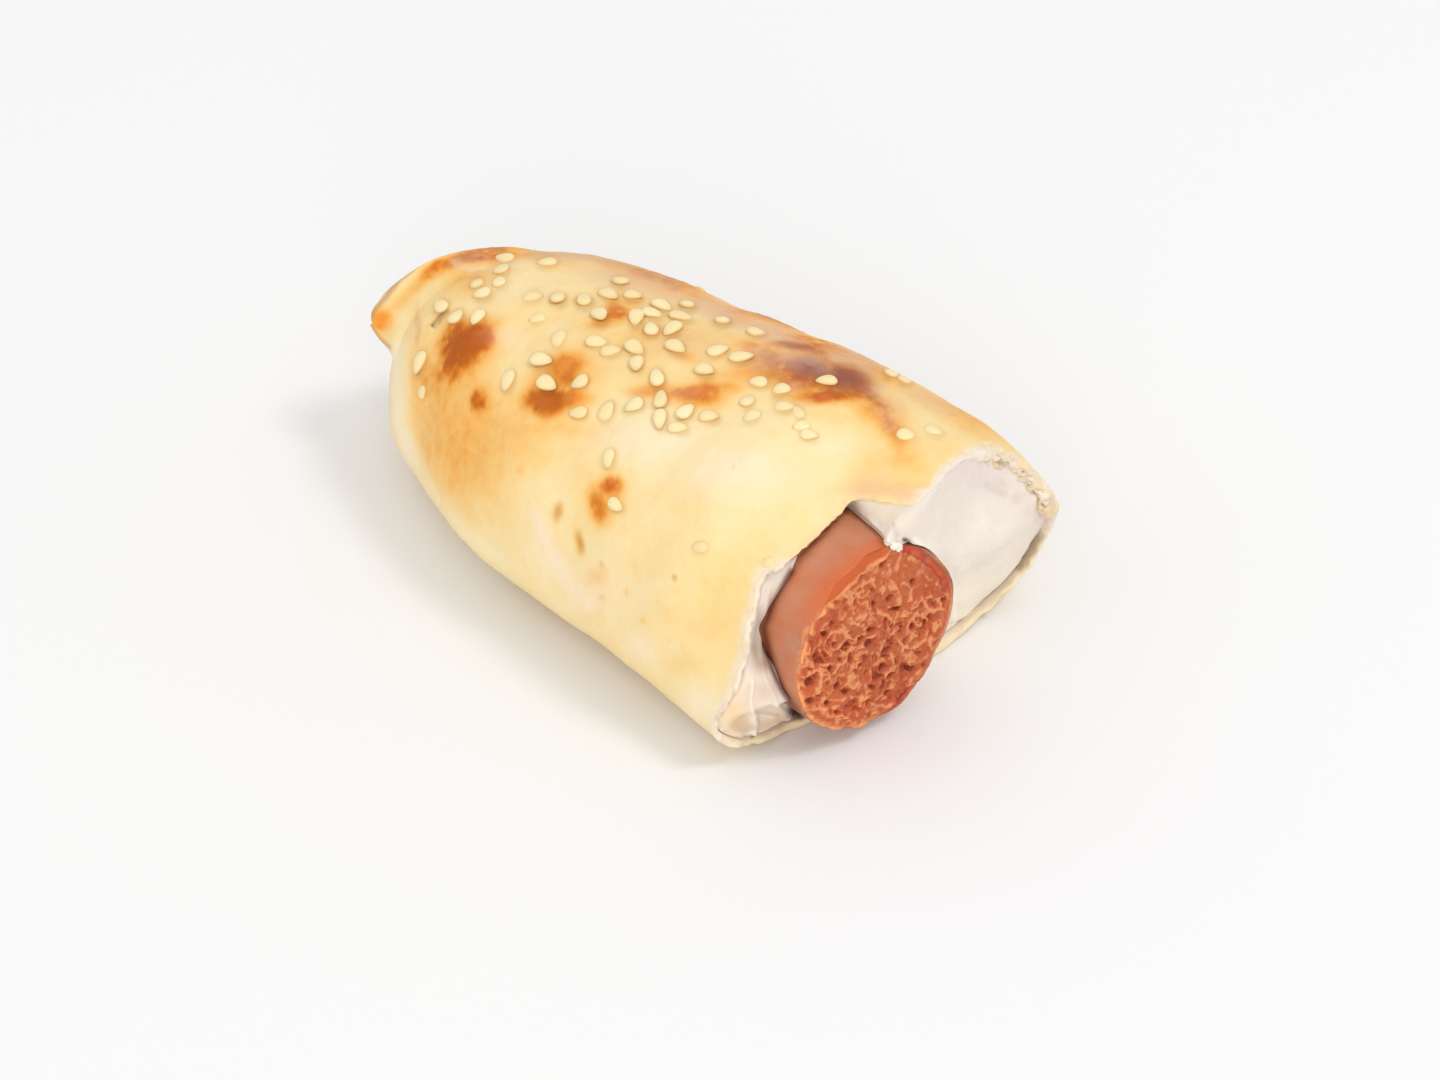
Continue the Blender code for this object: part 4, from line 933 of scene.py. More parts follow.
def worms(coord, scale, seed, width=0.17):
    """Meandering raised threads of even width, with hollows between them."""
    n = fbm(coord * scale, 2, seed=seed, gain=0.35)
    along = np.gradient(n, axis=0) / (SAUSAGE_R / N_F)
    across = (np.roll(n, -1, 1) - np.roll(n, 1, 1)) / (2 * np.maximum(rho, 0.5) * 2 * np.pi / N_S)
    slope = np.maximum(np.hypot(along, across), 0.22)
    return ramp(0.24, 0.46, -n), np.exp(-(n / slope / width) ** 2)


pit_a, thread_a = worms(pf, 0.80, 7)
pit_b, thread_b = worms(ring_coord, 1.05, 17)
pit_c, thread_c = worms(pf + 7.7, 1.25, 27, 0.13)
pits = (1 - rimness) * pit_a + 0.8 * rimness * pit_b
threads = (1 - rimness) * thread_a + rimness * thread_b
patchy = 0.68 + 0.32 * ramp(-0.25, 0.30, fbm(flat_face * 0.45, 2, seed=63))
pits = np.maximum(pits, 0.7 * pit_c) * (1 - 0.70 * calm) * (1 - 0.55 * ramp(0.80, 0.92, q)[:, None] * ramp(100, 125, np.degrees(P) % 360) * (1 - ramp(250, 275, np.degrees(P) % 360)))
threads = np.maximum(threads, 0.75 * thread_c) * patchy * (1 - 0.45 * calm) * (1 - 0.7 * pits)
rough_face = fbm(pf * 1.5, 3, seed=71)
# raised threads and holes of the torn meat where they show: lines of pixels, and pixel, half sizes, turn, depth
THREADS = [
    [(878, 596), (868, 604), (866, 610), (858, 614), (850, 616), (844, 618)],
    [(880, 597), (883, 589), (889, 586), (896, 588), (899, 595), (898, 603)],
    [(888, 564), (892, 572), (888, 578), (894, 583), (892, 588)],
    [(900, 549), (900, 558), (898, 570)],
    [(899, 603), (904, 610), (914, 604), (920, 596), (924, 606), (932, 610), (938, 606), (940, 596)],
    [(866, 638), (870, 630), (878, 626), (884, 630), (888, 624), (900, 616), (908, 612), (920, 614)],
    [(842, 624), (850, 621), (860, 624), (862, 632), (856, 638), (846, 636), (841, 630), (842, 624)],
    [(840, 592), (846, 598), (846, 606), (851, 611)],
    [(800, 626), (806, 634), (802, 646), (800, 660), (798, 674)],
    [(820, 650), (826, 660), (828, 674), (831, 684)],
    [(888, 654), (892, 662), (887, 672), (880, 682)],
    [(892, 636), (900, 644), (910, 646), (920, 642), (926, 630), (924, 618), (914, 612)],
    [(880, 640), (876, 650), (878, 660), (872, 668), (868, 680)],
    [(866, 638), (860, 646), (852, 648), (846, 654), (840, 650)],
    [(840, 700), (848, 696), (860, 700), (866, 694), (868, 686)],
    [(820, 710), (830, 716), (840, 713), (850, 721), (860, 726)],
    [(846, 684), (848, 676), (855, 675), (858, 682), (852, 688), (846, 684)],
    [(811, 701), (815, 710), (826, 708)],
    [(928, 596), (928, 610), (932, 620), (930, 634), (926, 644)],
    [(836, 598), (826, 610), (818, 618), (808, 634), (804, 650), (806, 664)],
    [(872, 578), (862, 584), (850, 590), (846, 598)],
    [(834, 630), (826, 640), (824, 650), (832, 656), (842, 652)],
    [(812, 664), (820, 672), (818, 684), (826, 692), (834, 690)],
    [(890, 700), (882, 706), (872, 704), (866, 712)],
    [(908, 650), (906, 660), (912, 670), (906, 680)],
    [(852, 668), (846, 662), (838, 664), (834, 672)],
    [(868, 590), (860, 596), (852, 598)],
    [(905, 582), (912, 590), (910, 598)],
    [(876, 612), (884, 614), (890, 620)],
]
HOLES = [
    (872, 604, 3.0, 4.0, 0, 0.7), (889, 599, 6.0, 6.0, 0, 0.30), (896, 608, 6.0, 2.6, 10, 0.7), (860, 577, 5.0, 2.6, 40, 0.7),
    (884, 565, 4.6, 2.4, 40, 0.7), (835, 600, 3.0, 3.0, 0, 0.6), (826, 608, 2.5, 2.5, 0, 0.55), (831, 624, 3.0, 3.0, 0, 0.6),
    (825, 634, 3.0, 2.5, 0, 0.6), (813, 624, 2.0, 2.5, 0, 0.5), (810, 640, 2.6, 3.2, 0, 0.55), (816, 656, 3.0, 5.0, -10, 0.65),
    (834, 645, 2.6, 2.6, 0, 0.5), (829, 668, 3.0, 2.6, 0, 0.5), (811, 682, 4.5, 4.0, 0, 0.8), (810, 701, 3.5, 3.5, 0, 0.7),
    (845, 691, 4.0, 2.6, 20, 0.6), (870, 628, 4.0, 2.2, 30, 0.55), (885, 650, 3.0, 5.0, -25, 0.6), (882, 667, 3.0, 4.5, -30, 0.75),
    (891, 675, 4.0, 2.8, 20, 0.6), (909, 667, 4.0, 3.0, 10, 0.7), (866, 658, 4.0, 5.0, 0, 0.4), (866, 643, 3.0, 4.0, 0, 0.4),
    (886, 692, 3.0, 2.4, 0, 0.5), (940, 599, 2.6, 3.0, 0, 0.6), (914, 583, 2.5, 2.2, 0, 0.5), (928, 602, 2.0, 4.0, 0, 0.5),
    (922, 624, 2.2, 4.0, 0, 0.5), (920, 663, 2.0, 2.0, 0, 0.4), (846, 650, 2.0, 2.0, 0, 0.4), (840, 659, 2.4, 2.4, 0, 0.45),
    (854, 670, 2.4, 2.4, 0, 0.45), (838, 686, 3.0, 2.4, 0, 0.5), (872, 687, 3.0, 2.4, 0, 0.5), (826, 702, 3.0, 2.4, 0, 0.55),
    (834, 711, 3.0, 2.2, 0, 0.5), (856, 708, 2.6, 2.2, 0, 0.5), (846, 706, 2.4, 2.0, 0, 0.4), (866, 672, 2.4, 2.4, 0, 0.4),
    (848, 640, 2.0, 2.0, 0, 0.35), (853, 603, 2.4, 2.0, 0, 0.4), (845, 583, 2.6, 2.0, 30, 0.45), (872, 590, 2.2, 2.0, 0, 0.35),
    (900, 692, 2.6, 2.0, 20, 0.4), (934, 642, 2.0, 3.0, 0, 0.35), (820, 694, 2.2, 2.2, 0, 0.5), (803, 690, 2.0, 2.4, 0, 0.4),
]
fu, fv = project(np.stack([np.full_like(fy, -0.3), fy, fz], -1))
fu = fu + 1.6 * fbm(flat_face * 0.9 + 20, 2, seed=97)
fv = fv + 1.6 * fbm(flat_face * 0.9 + 40, 2, seed=98)
drawn_thread = np.zeros(fy.shape)
for line in THREADS:
    best = np.full(fy.shape, 1e9)
    for (ax, ay), (bx, by) in zip(line[:-1], line[1:]):
        dx_, dy_ = bx - ax, by - ay
        f = np.clip(((fu - ax) * dx_ + (fv - ay) * dy_) / (dx_ * dx_ + dy_ * dy_), 0, 1)
        best = np.minimum(best, np.hypot(fu - ax - f * dx_, fv - ay - f * dy_))
    drawn_thread = np.maximum(drawn_thread, np.exp(-(best / 1.8) ** 2))
drawn_thread = drawn_thread * (0.75 + 0.5 * fbm(flat_face * 1.3, 2, seed=99))
drawn_hole = np.zeros(fy.shape)
for u, v, a, b, turn, deep in HOLES:
    c, s_ = np.cos(np.radians(turn)), np.sin(np.radians(turn))
    e1, e2 = (fu - u) * c - (fv - v) * s_, -(fu - u) * s_ - (fv - v) * c
    drawn_hole = np.maximum(drawn_hole, deep * np.exp(-((e1 / a) ** 2 + (e2 / b) ** 2) ** 1.4))
detail = 0.22 * threads * (1 - drawn_thread) - 0.38 * pits * (1 - drawn_thread) + 0.08 * rough_face
detail = detail + 0.28 * drawn_thread - 0.95 * drawn_hole
# at the upper left the skin reaches over the rim, so the torn edge lies lower there
turn_deg = (np.degrees(P) + 180) % 360 - 180
rim_at = 0.985 - 0.085 * ramp(76, 84, turn_deg) * (1 - ramp(118, 140, turn_deg))
rim_edge = np.exp(-((q[:, None] - rim_at + 0.008) / 0.032) ** 2)
wavy = 0.018 * fbm(np.stack([np.cos(P) * 11, np.sin(P) * 11, 0 * P], -1), 2, seed=87)
skin_over = ramp(0.004, 0.022, q[:, None] - rim_at - wavy) * (rim_at < 0.975)
jag = fbm(np.stack([np.cos(P) * 9, np.sin(P) * 9, q[:, None] * 2 + 0 * P], -1), 3, seed=81)
rim_side = ramp(72, 86, np.degrees(P) % 360) * (1 - ramp(255, 290, np.degrees(P) % 360))
detail = detail * (1 - 0.5 * rim_edge) * (1 - skin_over)
outer_fade = ramp(1.0, 0.97, q)[:, None]
fx = face_height(rho, P) - 0.12 + detail * (0.25 + 0.75 * outer_fade) + rim_edge * (0.05 + 0.75 * jag) * rim_side
fx = fx - 0.45 * skin_over * np.clip((q[:, None] - rim_at) / 0.085, 0, 1) ** 2
# the tear stands a little further forward low on the far side and at the top
low_far = ramp(-95, -62, turn_deg) * (1 - ramp(10, 46, turn_deg))
at_top = ramp(78, 92, turn_deg) * (1 - ramp(108, 122, turn_deg))
fx = fx + (0.75 * low_far + 0.45 * at_top) * q[:, None] ** 4
fx = np.minimum(fx, hi[0])
spread = 1 + 0.026 * low_far * q[:, None] ** 2
fy, fz = fy * spread, fz * spread
face = np.stack([fx, fy, fz], -1)
# a rounded shoulder from the skin to the face
s_psi = face[0, :, 0]
shoulder = []
for t in (0.25, 0.55, 0.8, 1.0):
    xx = -1.0 + (s_psi + 0.0 + 1.0) * t
    rr = (SAUSAGE_R * (1 - 0.007 * t**2) - 0.04) * (1 + (spread[0] - 1) * t)
    shoulder.append(np.stack([xx, rr * np.cos(psi), rr * np.sin(psi)], 1))
shoulder = np.array(shoulder)
face[0] = shoulder[-1] + np.array([0.0, 0, 0])
face = face[1:]
all_rows = np.concatenate([skin, shoulder, face])
tones = np.zeros(all_rows.shape)
n_skin = len(skin) + len(shoulder)
sk = all_rows[:n_skin].reshape(-1, 3)
streak = fbm(sk * np.array([0.15, 0.7, 0.7]), 3, seed=91).reshape(n_skin, N_S)
mott = fbm(sk * 0.5, 3, seed=92).reshape(n_skin, N_S)
tone = mix(np.broadcast_to(SKIN, all_rows[:n_skin].shape).copy(), SKIN_DARK, 0.32 + 0.5 * streak)
tone = mix(tone, SKIN_PINK, 0.5 + 0.5 * mott)
deg = (np.degrees(psi) % 360)[None] + 0 * streak
ahead = ramp(-5.0, -0.8, all_rows[:n_skin, :, 0])
# painted light: the skin glows brighter orange just behind the torn end on its upper side
tone = mix(tone, SKIN_GLOW, 0.66 * ahead * ramp(60, 85, deg) * (1 - ramp(125, 165, deg)))
# painted shade: the skin is darker on its lower near side
tone = mix(tone, SKIN_DARK, 0.6 * ramp(185, 240, deg))
tear_line = -0.75 + 0.95 * fbm(np.stack([np.cos(psi) * 8, np.sin(psi) * 8, 0 * psi], -1), 3, seed=83)
torn = ramp(-0.12, 0.22, all_rows[:n_skin, :, 0] - tear_line[None]) * (0.25 + 0.75 * rim_side[0])[None] * (rim_at[0] > 0.975)[None]
torn_noise = fbm(sk * 1.6, 2, seed=84).reshape(n_skin, N_S)
all_rows[:n_skin] += radial_dir * (-0.16 * torn + 0.10 * torn * torn_noise)[..., None]
tone = mix(tone, mix(np.broadcast_to(FLESH_LIGHT, tone.shape), FLESH, 0.25 + 0.9 * torn_noise), 0.85 * torn)
contact = Canvas(all_rows[:n_skin], BVHTree.FromPolygons([Vector(v) for v in all_rows[:n_skin].reshape(-1, 3)], [
    [i * N_S + c, i * N_S + (c + 1) % N_S, (i + 1) * N_S + (c + 1) % N_S, (i + 1) * N_S + c]
    for i in range(n_skin - 1) for c in range(N_S)]), warp=1.0, seed=240)
# painted shadow: dark lines on the skin where the crust and the white layer meet it
CONTACT_SHADOW = seen(104, 38, 14)
for pixels, width, amount in [
        ([(850, 505), (826, 530), (802, 556), (790, 572)], 2.8, 0.75),
        ([(790, 572), (774, 600), (763, 627), (768, 650), (773, 668), (782, 690), (792, 706), (801, 719), (810, 728)], 4.6, 0.95),
        ([(850, 505), (866, 520), (882, 534), (890, 545)], 3.0, 0.6),
        ([(905, 543), (918, 548), (931, 558), (942, 572), (948, 586)], 3.4, 0.65)]:
    tone = mix(tone, CONTACT_SHADOW, amount * contact.line(pixels, width))
# painted light: the skin is lightened in a band beside the crust's edge, where the crust shades it
tone = tone * (1 + 0.16 * contact.line([(846, 516), (820, 545), (802, 572)], 9))[..., None]
tones[:n_skin] = tone
depth = detail[1:] + 0.20 * rough_face[1:]
ft = mix(np.broadcast_to(FLESH, face.shape).copy(), FLESH_RED, 0.35 + 0.9 * fbm(flat_face[1:] * 0.22, 2, seed=95))
# raised meat painted lighter and pits darker: partly the meat's own colour, partly painted highlight and shade
ft = mix(ft, FLESH_LIGHT, ramp(0.02, 0.26, depth) * 0.90)
ft = mix(ft, FLESH_DARK, ramp(-0.06, -0.50, depth) * 0.90)
fdeg = np.degrees(P[1:]) % 360
rimlight = rim_edge[1:] * ramp(72, 86, fdeg) * (1 - ramp(262, 285, fdeg))
ft = mix(ft, FLESH_LIGHT * 1.04, np.clip(rimlight * (0.95 + 0.8 * jag[1:]), 0, 1))
# the deep red strip of skin at the upper right of the face, with a painted shade line along its lower side
strip = np.array([(904, 547), (914, 550), (924, 556), (933, 565), (939, 575), (942, 587)], float)
best = np.full(fu.shape, 1e9)
where = np.zeros(fu.shape)
for i, ((ax, ay), (bx, by)) in enumerate(zip(strip[:-1], strip[1:])):
    dx_, dy_ = bx - ax, by - ay
    f = np.clip(((fu - ax) * dx_ + (fv - ay) * dy_) / (dx_ * dx_ + dy_ * dy_), 0, 1)
    away = np.hypot(fu - ax - f * dx_, fv - ay - f * dy_)
    where = np.where(away < best, (i + f) / 5, where)
    best = np.minimum(best, away)
half = (5.0 - 2.6 * where) * (1 + 0.45 * fbm(flat_face * 0.9 + 5, 2, seed=89))
below_strip = (fv - np.interp(fu, strip[:, 0], strip[:, 1]) > 0) | (fu < 905)
inner_line = np.exp(-((best - half - 0.8) / 1.3) ** 2) * below_strip * (fu > 903) * (fv < 600)
ft = mix(ft, seen(140, 44, 20), 0.75 * inner_line[1:])
ft = mix(ft, mix(np.broadcast_to(CUT_RED, ft.shape), seen(214, 84, 40), 0.5 + 1.4 * fbm(flat_face[1:] * 0.8, 2, seed=96)), 0.92 * ramp(1.4, -1.2, best[1:] - half[1:]))
band_line = np.array([(905, 543), (918, 548), (931, 558), (942, 572), (948, 586)], float)
beside = np.full(fu.shape, 1e9)
for (ax, ay), (bx, by) in zip(band_line[:-1], band_line[1:]):
    dx_, dy_ = bx - ax, by - ay
    f = np.clip(((fu - ax) * dx_ + (fv - ay) * dy_) / (dx_ * dx_ + dy_ * dy_), 0, 1)
    beside = np.minimum(beside, np.hypot(fu - ax - f * dx_, fv - ay - f * dy_))
# smooth pale rim on the right side and the skin that reaches over the upper left
side_band = ramp(0.945, 0.965, q[1:, None] + 0.012 * fbm(flat_face[1:] * 0.8, 2, seed=88)) * ramp(-50, -30, turn_deg[1:]) * (1 - ramp(30, 60, turn_deg[1:]))
ft = mix(ft, seen(220, 146, 104), 0.75 * side_band)
# painted shade: dark band along the gap under the white layer's edge at the upper right
ft = mix(ft, seen(150, 76, 40), 0.80 * np.exp(-(beside[1:] / 3.0) ** 2))
ft = mix(ft, seen(203, 92, 38), skin_over[1:])
ft = ft * (0.955 + 0.08 * ramp(0.45, 0.85, q[1:, None]) * ramp(115, 140, fdeg) * (1 - ramp(250, 275, fdeg)))[..., None]
tones[n_skin:] = ft
centre_x = float(fx[-1].mean())
points = np.concatenate([[[SAUSAGE_END, sausage_axis(SAUSAGE_END), 0.0]], all_rows.reshape(-1, 3), [[centre_x, 0, 0]]])
tones = np.concatenate([[SKIN], tones.reshape(-1, 3), [FLESH]])
sausage = make_object("sausage_link", points, tube_faces(len(all_rows), N_S, 0, len(points) - 1), tones)
print("sausage volume mm3", faces_out(sausage), "faces", len(sausage.data.polygons))

# ---------------------------------------------------------------- white layer
FCOL = np.radians(np.concatenate([np.linspace(-60, 83, 144)[:-1], np.linspace(83, 99, 61)[:-1],
                                  np.linspace(99, 240, 142)[:-1], np.linspace(240, 300, 31)[:-1]]))
N_W = len(FCOL)
fill_deg = np.degrees(FCOL)
lip_c = np.interp(fill_deg, np.concatenate([phi_deg, [335.0]]), np.concatenate([lip_xs, [lip_xs[0]]]), period=360)
wall_c = np.interp(fill_deg, np.concatenate([phi_deg, [335.0]]), np.concatenate([lip_wall, [lip_wall[0]]]), period=360)
near_top = ramp(20, 40, fill_deg) * (1 - ramp(86, 99, fill_deg))
# distance between the layer and the crust: close on top, a thin dark gap round the far and lower side
room = -0.20 + 0.48 * ramp(5, -2, fill_deg) * ramp(-60, -50, fill_deg) + 0.5 * ramp(225, 240, fill_deg)
room = room + 0.30 * ramp(94, 100, fill_deg) * (1 - ramp(225, 240, fill_deg))
near_low = ramp(176, 192, fill_deg) * (1 - ramp(236, 246, fill_deg))
edge_x = lip_c - 0.7 + 0.75 * near_top + 0.42 * near_low
edge = press(wrap_xyz(edge_x, FCOL, wall_c + room), lip_c, fill_deg)
edge_psi = np.unwrap(np.arctan2(edge[:, 2], edge[:, 1]))
edge_rho = np.hypot(edge[:, 1], edge[:, 2])
psi_deg = np.degrees(edge_psi)
R0 = SAUSAGE_R + 0.05
# the layer's own surface follows a calm line; only its last millimetres follow the crust's ragged edge
calm_x = lip_x(FCOL) - 0.7 + 0.75 * near_top + 0.42 * near_low
wide = np.hanning(37) / np.hanning(37).sum()
calm_far = np.convolve(np.pad(calm_x, 18, mode="wrap"), wide, "valid")
calm_x = calm_x + (calm_far - calm_x) * ramp(-50, -35, fill_deg) * (1 - ramp(38, 54, fill_deg))
calm_edge = press(wrap_xyz(calm_x, FCOL, wall_c + room), lip_x(FCOL), fill_deg)
kernel = np.hanning(15) / np.hanning(15).sum()
calm_rho = np.hypot(calm_edge[:, 1], calm_edge[:, 2])
calm_rho = np.convolve(np.concatenate([calm_rho[-7:], calm_rho, calm_rho[:7]]), kernel, "valid")
opened = ramp(74, 79, fill_deg) * (1 - ramp(122, 129, fill_deg))
foot_psi, foot_x, roll_psi, roll_x, roll_rho = (curve(OPENING, c, fill_deg) for c in range(1, 6))
foot_psi = psi_deg + (foot_psi - psi_deg) * opened
meet = curve(MEET, 1, (psi_deg + 60) % 360 - 60)
foot_x = meet + (foot_x - meet) * opened
behind_psi = psi_deg + (curve(BEHIND, 1, fill_deg) - psi_deg) * opened
rolled = ramp(85.5, 88.3, fill_deg) * (1 - ramp(95.5, 98.5, fill_deg))
N_FRONT = 84
CREST = 0.42
ts = 1 - np.linspace(0, 1, N_FRONT) ** 1.05
front = []
for t in ts:                                   # t = 1 at the crust, 0 at the sausage
    own = ramp(0.88, 1.0, t)
    reach = calm_rho + (edge_rho - calm_rho) * own
    rr = R0 + (np.maximum(reach, R0 + 0.15) - R0) * t
    ripple = 0.25 * np.sin(0.33 * rr + 0.05 * psi_deg) * np.sin(np.pi * t)
    ripple = ripple - HOLLOW * np.sin(np.pi * t) * np.exp(-(((psi_deg % 360) - 214) / 16.0) ** 2)
    outer_x = calm_x + (edge_x - calm_x) * own
    x = foot_x + (outer_x - foot_x) * t**1.2 + ripple
    turned = foot_psi + (psi_deg - foot_psi) * t
    # rolled edge lying over the sausage
    if t > CREST:
        f = (t - CREST) / (1 - CREST)
        roll = (roll_rho + (reach - roll_rho) * f + 0.18 * np.sin(np.pi * f), roll_x + (outer_x - roll_x) * f,
                roll_psi + (psi_deg - roll_psi) * f)
    else:
        f = np.pi / 2 * t / CREST
        roll = (R0 + (roll_rho - R0) * (0.5 * np.sin(f) + 0.5 * (1 - np.cos(f))), foot_x + (roll_x - foot_x) * np.sin(f),
                foot_psi + (roll_psi - foot_psi) * (0.5 * np.sin(f) + 0.5 * (1 - np.cos(f))))
    rr = rr + (roll[0] - rr) * rolled
    x = x + (roll[1] - x) * rolled
    turned = np.radians(turned + (roll[2] - turned) * rolled)
    front.append(np.stack([x, rr * np.cos(turned), rr * np.sin(turned)], 1))
front = np.array(front)
# rounded edge towards the crust, then back along its inside to the closed end
back_rows = []
for i, r in enumerate(np.linspace(0, 1, 26)):
    depth_in = (edge_x - 0.25) + (X_BACK + WALL + 0.3 - edge_x) * (1 - np.cos(r * np.pi / 2)) ** 0.9
    if i == 25:
        break
    inset = wall_inset(depth_in, lip_c, wall_c) + 0.08 + (room - 0.08) * ramp(6, 0, lip_c - depth_in)
    back_rows.append(press(wrap_xyz(depth_in, FCOL, inset), lip_c, fill_deg))
back_rows = np.array(back_rows)[::-1]          # from the closed end forwards
bore_rows = []
for t in (0.12, 0.3, 0.5, 0.75):
    x = foot_x + (-16.0 - foot_x) * t**1.5
    turned = np.radians(foot_psi + (behind_psi - foot_psi) * (1 - (1 - t) ** 2))
    bore_rows.append(np.stack([x, R0 * np.cos(turned), R0 * np.sin(turned)], 1))
turned = np.radians(behind_psi)
for x in np.concatenate([np.linspace(-16, -70, 9), SAUSAGE_END + 12.5 * (1 - np.cos(np.arange(6, 1, -1) / 6 * np.pi / 2)), [-83.9]]):
    r = sausage_radius(x, 0.12)
    bore_rows.append(np.stack([np.full(N_W, x), sausage_axis(x) + r * np.cos(turned), r * np.sin(turned)], 1))
bore_rows = np.array(bore_rows)                # from the front backwards
white = np.concatenate([back_rows, front, bore_rows])
is_front = np.zeros(len(white), bool)
is_front[len(back_rows) - 3:len(back_rows) + N_FRONT] = True
wn = grid_normals(white)
wflat = white.reshape(-1, 3)
T = np.zeros(white.shape[:2])
T[len(back_rows):len(back_rows) + N_FRONT] = np.sin(np.pi * ts)[:, None] ** 0.5
soft = 0.30 * fbm(wflat * 0.16, 3, seed=41) + 0.10 * fbm(wflat * 0.5, 3, seed=42) + 0.02 * fbm(wflat * 1.8, 2, seed=43)
soft = soft.reshape(white.shape[:2]) * T
front_quads = []
jj = np.arange(N_W)
kk = (jj + 1) % N_W
for i in range(len(white) - 1):
    a, b = i * N_W, (i + 1) * N_W
    front_quads += np.stack([a + jj, a + kk, b + kk, b + jj], 1).tolist()
white_tree = BVHTree.FromPolygons([Vector(p) for p in wflat], front_quads)
fold = Canvas(white, white_tree, warp=1.0, seed=140)
for pixels, width, height in [
        ([(768, 592), (760, 640), (764, 676), (778, 704)], 3.0, 0.25),
        ([(752, 682), (750, 700), (753, 712), (773, 716)], 2.6, 0.45),
        ([(752, 714), (754, 726), (752, 736)], 3.2, 0.60),
        ([(775, 704), (788, 716), (790, 728)], 3.0, 0.30),
        ([(892, 524), (899, 536)], 2.2, -0.25),
        ([(916, 541), (934, 556), (948, 573), (953, 598), (952, 618)], 3.0, 0.22),
        ([(988, 486), (996, 490), (1004, 494)], 4.0, -0.25),
        ([(1000, 500), (985, 530), (975, 560)], 6.0, 0.12),
        ([(940, 520), (930, 545), (935, 570)], 8.0, 0.12)]:
    soft = soft + height * fold.line(pixels, width) * is_front[:, None]
for u, v, a, b, angle, deep in [(908, 542, 4.0, 2.6, -35, 0.5), (763, 650, 8, 16, 0, 0.35), (905, 530, 16, 10, 0, -0.10), (1020, 499, 7, 6, 0, 0.30), (1004, 483, 8, 5, -40, 0.25), (1030, 513, 5, 6, 0, 0.22)]:
    soft = soft - deep * fold.spot(u, v, a, b, angle) * is_front[:, None]
white = white + wn * (soft * is_front[:, None])[..., None]
rr = np.hypot(white[..., 1], white[..., 2])
scale = np.where(is_front[:, None] & (rr < R0), R0 / np.maximum(rr, 1e-6), 1.0)
white[..., 1] *= scale
white[..., 2] *= scale
wt = np.broadcast_to(WHITE, white.shape).copy()
wt = mix(wt, WHITE_SHADE, (0.20 + 0.5 * fbm(wflat * 0.22, 3, seed=44)).reshape(white.shape[:2]))
# painted shade and light: the layer's upper part darker, its lower part brighter
wt = mix(wt, seen(230, 216, 204), 0.7 * ramp(5.0, 14.0, white[..., 2]))
wt = mix(wt, seen(252, 238, 216), 0.6 * ramp(2.0, -9.0, white[..., 2]))
# marks on the layer: the grey and dark ones are painted shade (beside the sausage's near edge, at the upper right, in
# the dents by the torn crumb, in the notch by the flake and in the hole under the sausage); the bright ones at the near
# lower corner and low on the right are painted light
for u, v, a, b, angle, tone, amount in [
        (733, 714, 15, 24, 0, seen(252, 220, 170), 0.9), (776, 722, 18, 12, -10, seen(240, 210, 178), 0.7), (740, 690, 12, 30, 20, seen(250, 228, 192), 0.5), (964, 596, 12, 20, 0, seen(255, 246, 222), 0.7), (756, 650, 7, 17, 0, seen(180, 164, 140), 0.9),
        (763, 664, 8, 11, -10, seen(184, 148, 126), 0.85), (764, 690, 14, 13, 0, seen(232, 202, 180), 0.75), (771, 600, 5, 15, -15, seen(206, 160, 138), 0.6),
        (766, 731, 16, 7, 0, seen(232, 212, 180), 0.6), (758, 612, 6, 18, 15, seen(214, 196, 188), 0.6),
        (975, 470, 32, 16, -30, seen(228, 213, 207), 0.9), (1020, 499, 8, 7, 0, seen(206, 190, 176), 0.6), (1003, 483, 9, 5, -40, seen(214, 198, 186), 0.5), (1031, 513, 6, 6, 0, seen(216, 200, 188), 0.45), (1001, 491, 9, 4, -40, seen(222, 208, 198), 0.4), (1030, 512, 20, 30, 0, seen(238, 222, 211), 0.6),
        (890, 514, 26, 12, -20, seen(238, 220, 190), 0.6), (908, 542, 4.0, 2.4, -35, seen(112, 84, 62), 0.9),
        (797, 711, 9, 8, 0, seen(84, 42, 18), 1.0)]:
    wt = mix(wt, tone, amount * fold.spot(u, v, a, b, angle))
# painted shade: the hole under the sausage darkened further
wt = mix(wt, seen(112, 50, 16) * 0.42, fold.spot(796, 711, 9, 8, 0, 1.8))
# painted shadow: dark line on the layer along the sausage's near edge
wt = mix(wt, seen(104, 52, 34), 0.9 * fold.line([(791, 571), (775, 600), (764, 625), (766, 648), (772, 668), (782, 690), (791, 704)], 3.6))
# painted highlights on the ridges at the near lower corner
wt = mix(wt, seen(252, 242, 230), 0.7 * fold.line([(752, 682), (750, 700), (753, 712), (773, 716)], 2.4))
wt = mix(wt, seen(254, 248, 238), 0.9 * fold.line([(752, 716), (754, 726), (752, 736)], 3.0))
# painted highlight along the layer's edge by the red strip, and painted light along its edge over the sausage's upper
# left
wt = mix(wt, seen(255, 248, 234), 0.8 * fold.line([(916, 541), (934, 556), (948, 573), (953, 598), (952, 618)], 2.6))
wt = mix(wt, seen(250, 240, 222), 0.45 * fold.line([(853, 506), (868, 519), (882, 532), (892, 545)], 4.5))
# painted shade in two creases
wt = mix(wt, seen(214, 200, 190), 0.5 * fold.line([(988, 486), (996, 490), (1004, 494)], 4.0))
wt = mix(wt, seen(216, 206, 196), 0.5 * fold.line([(892, 524), (899, 536)], 2.2))
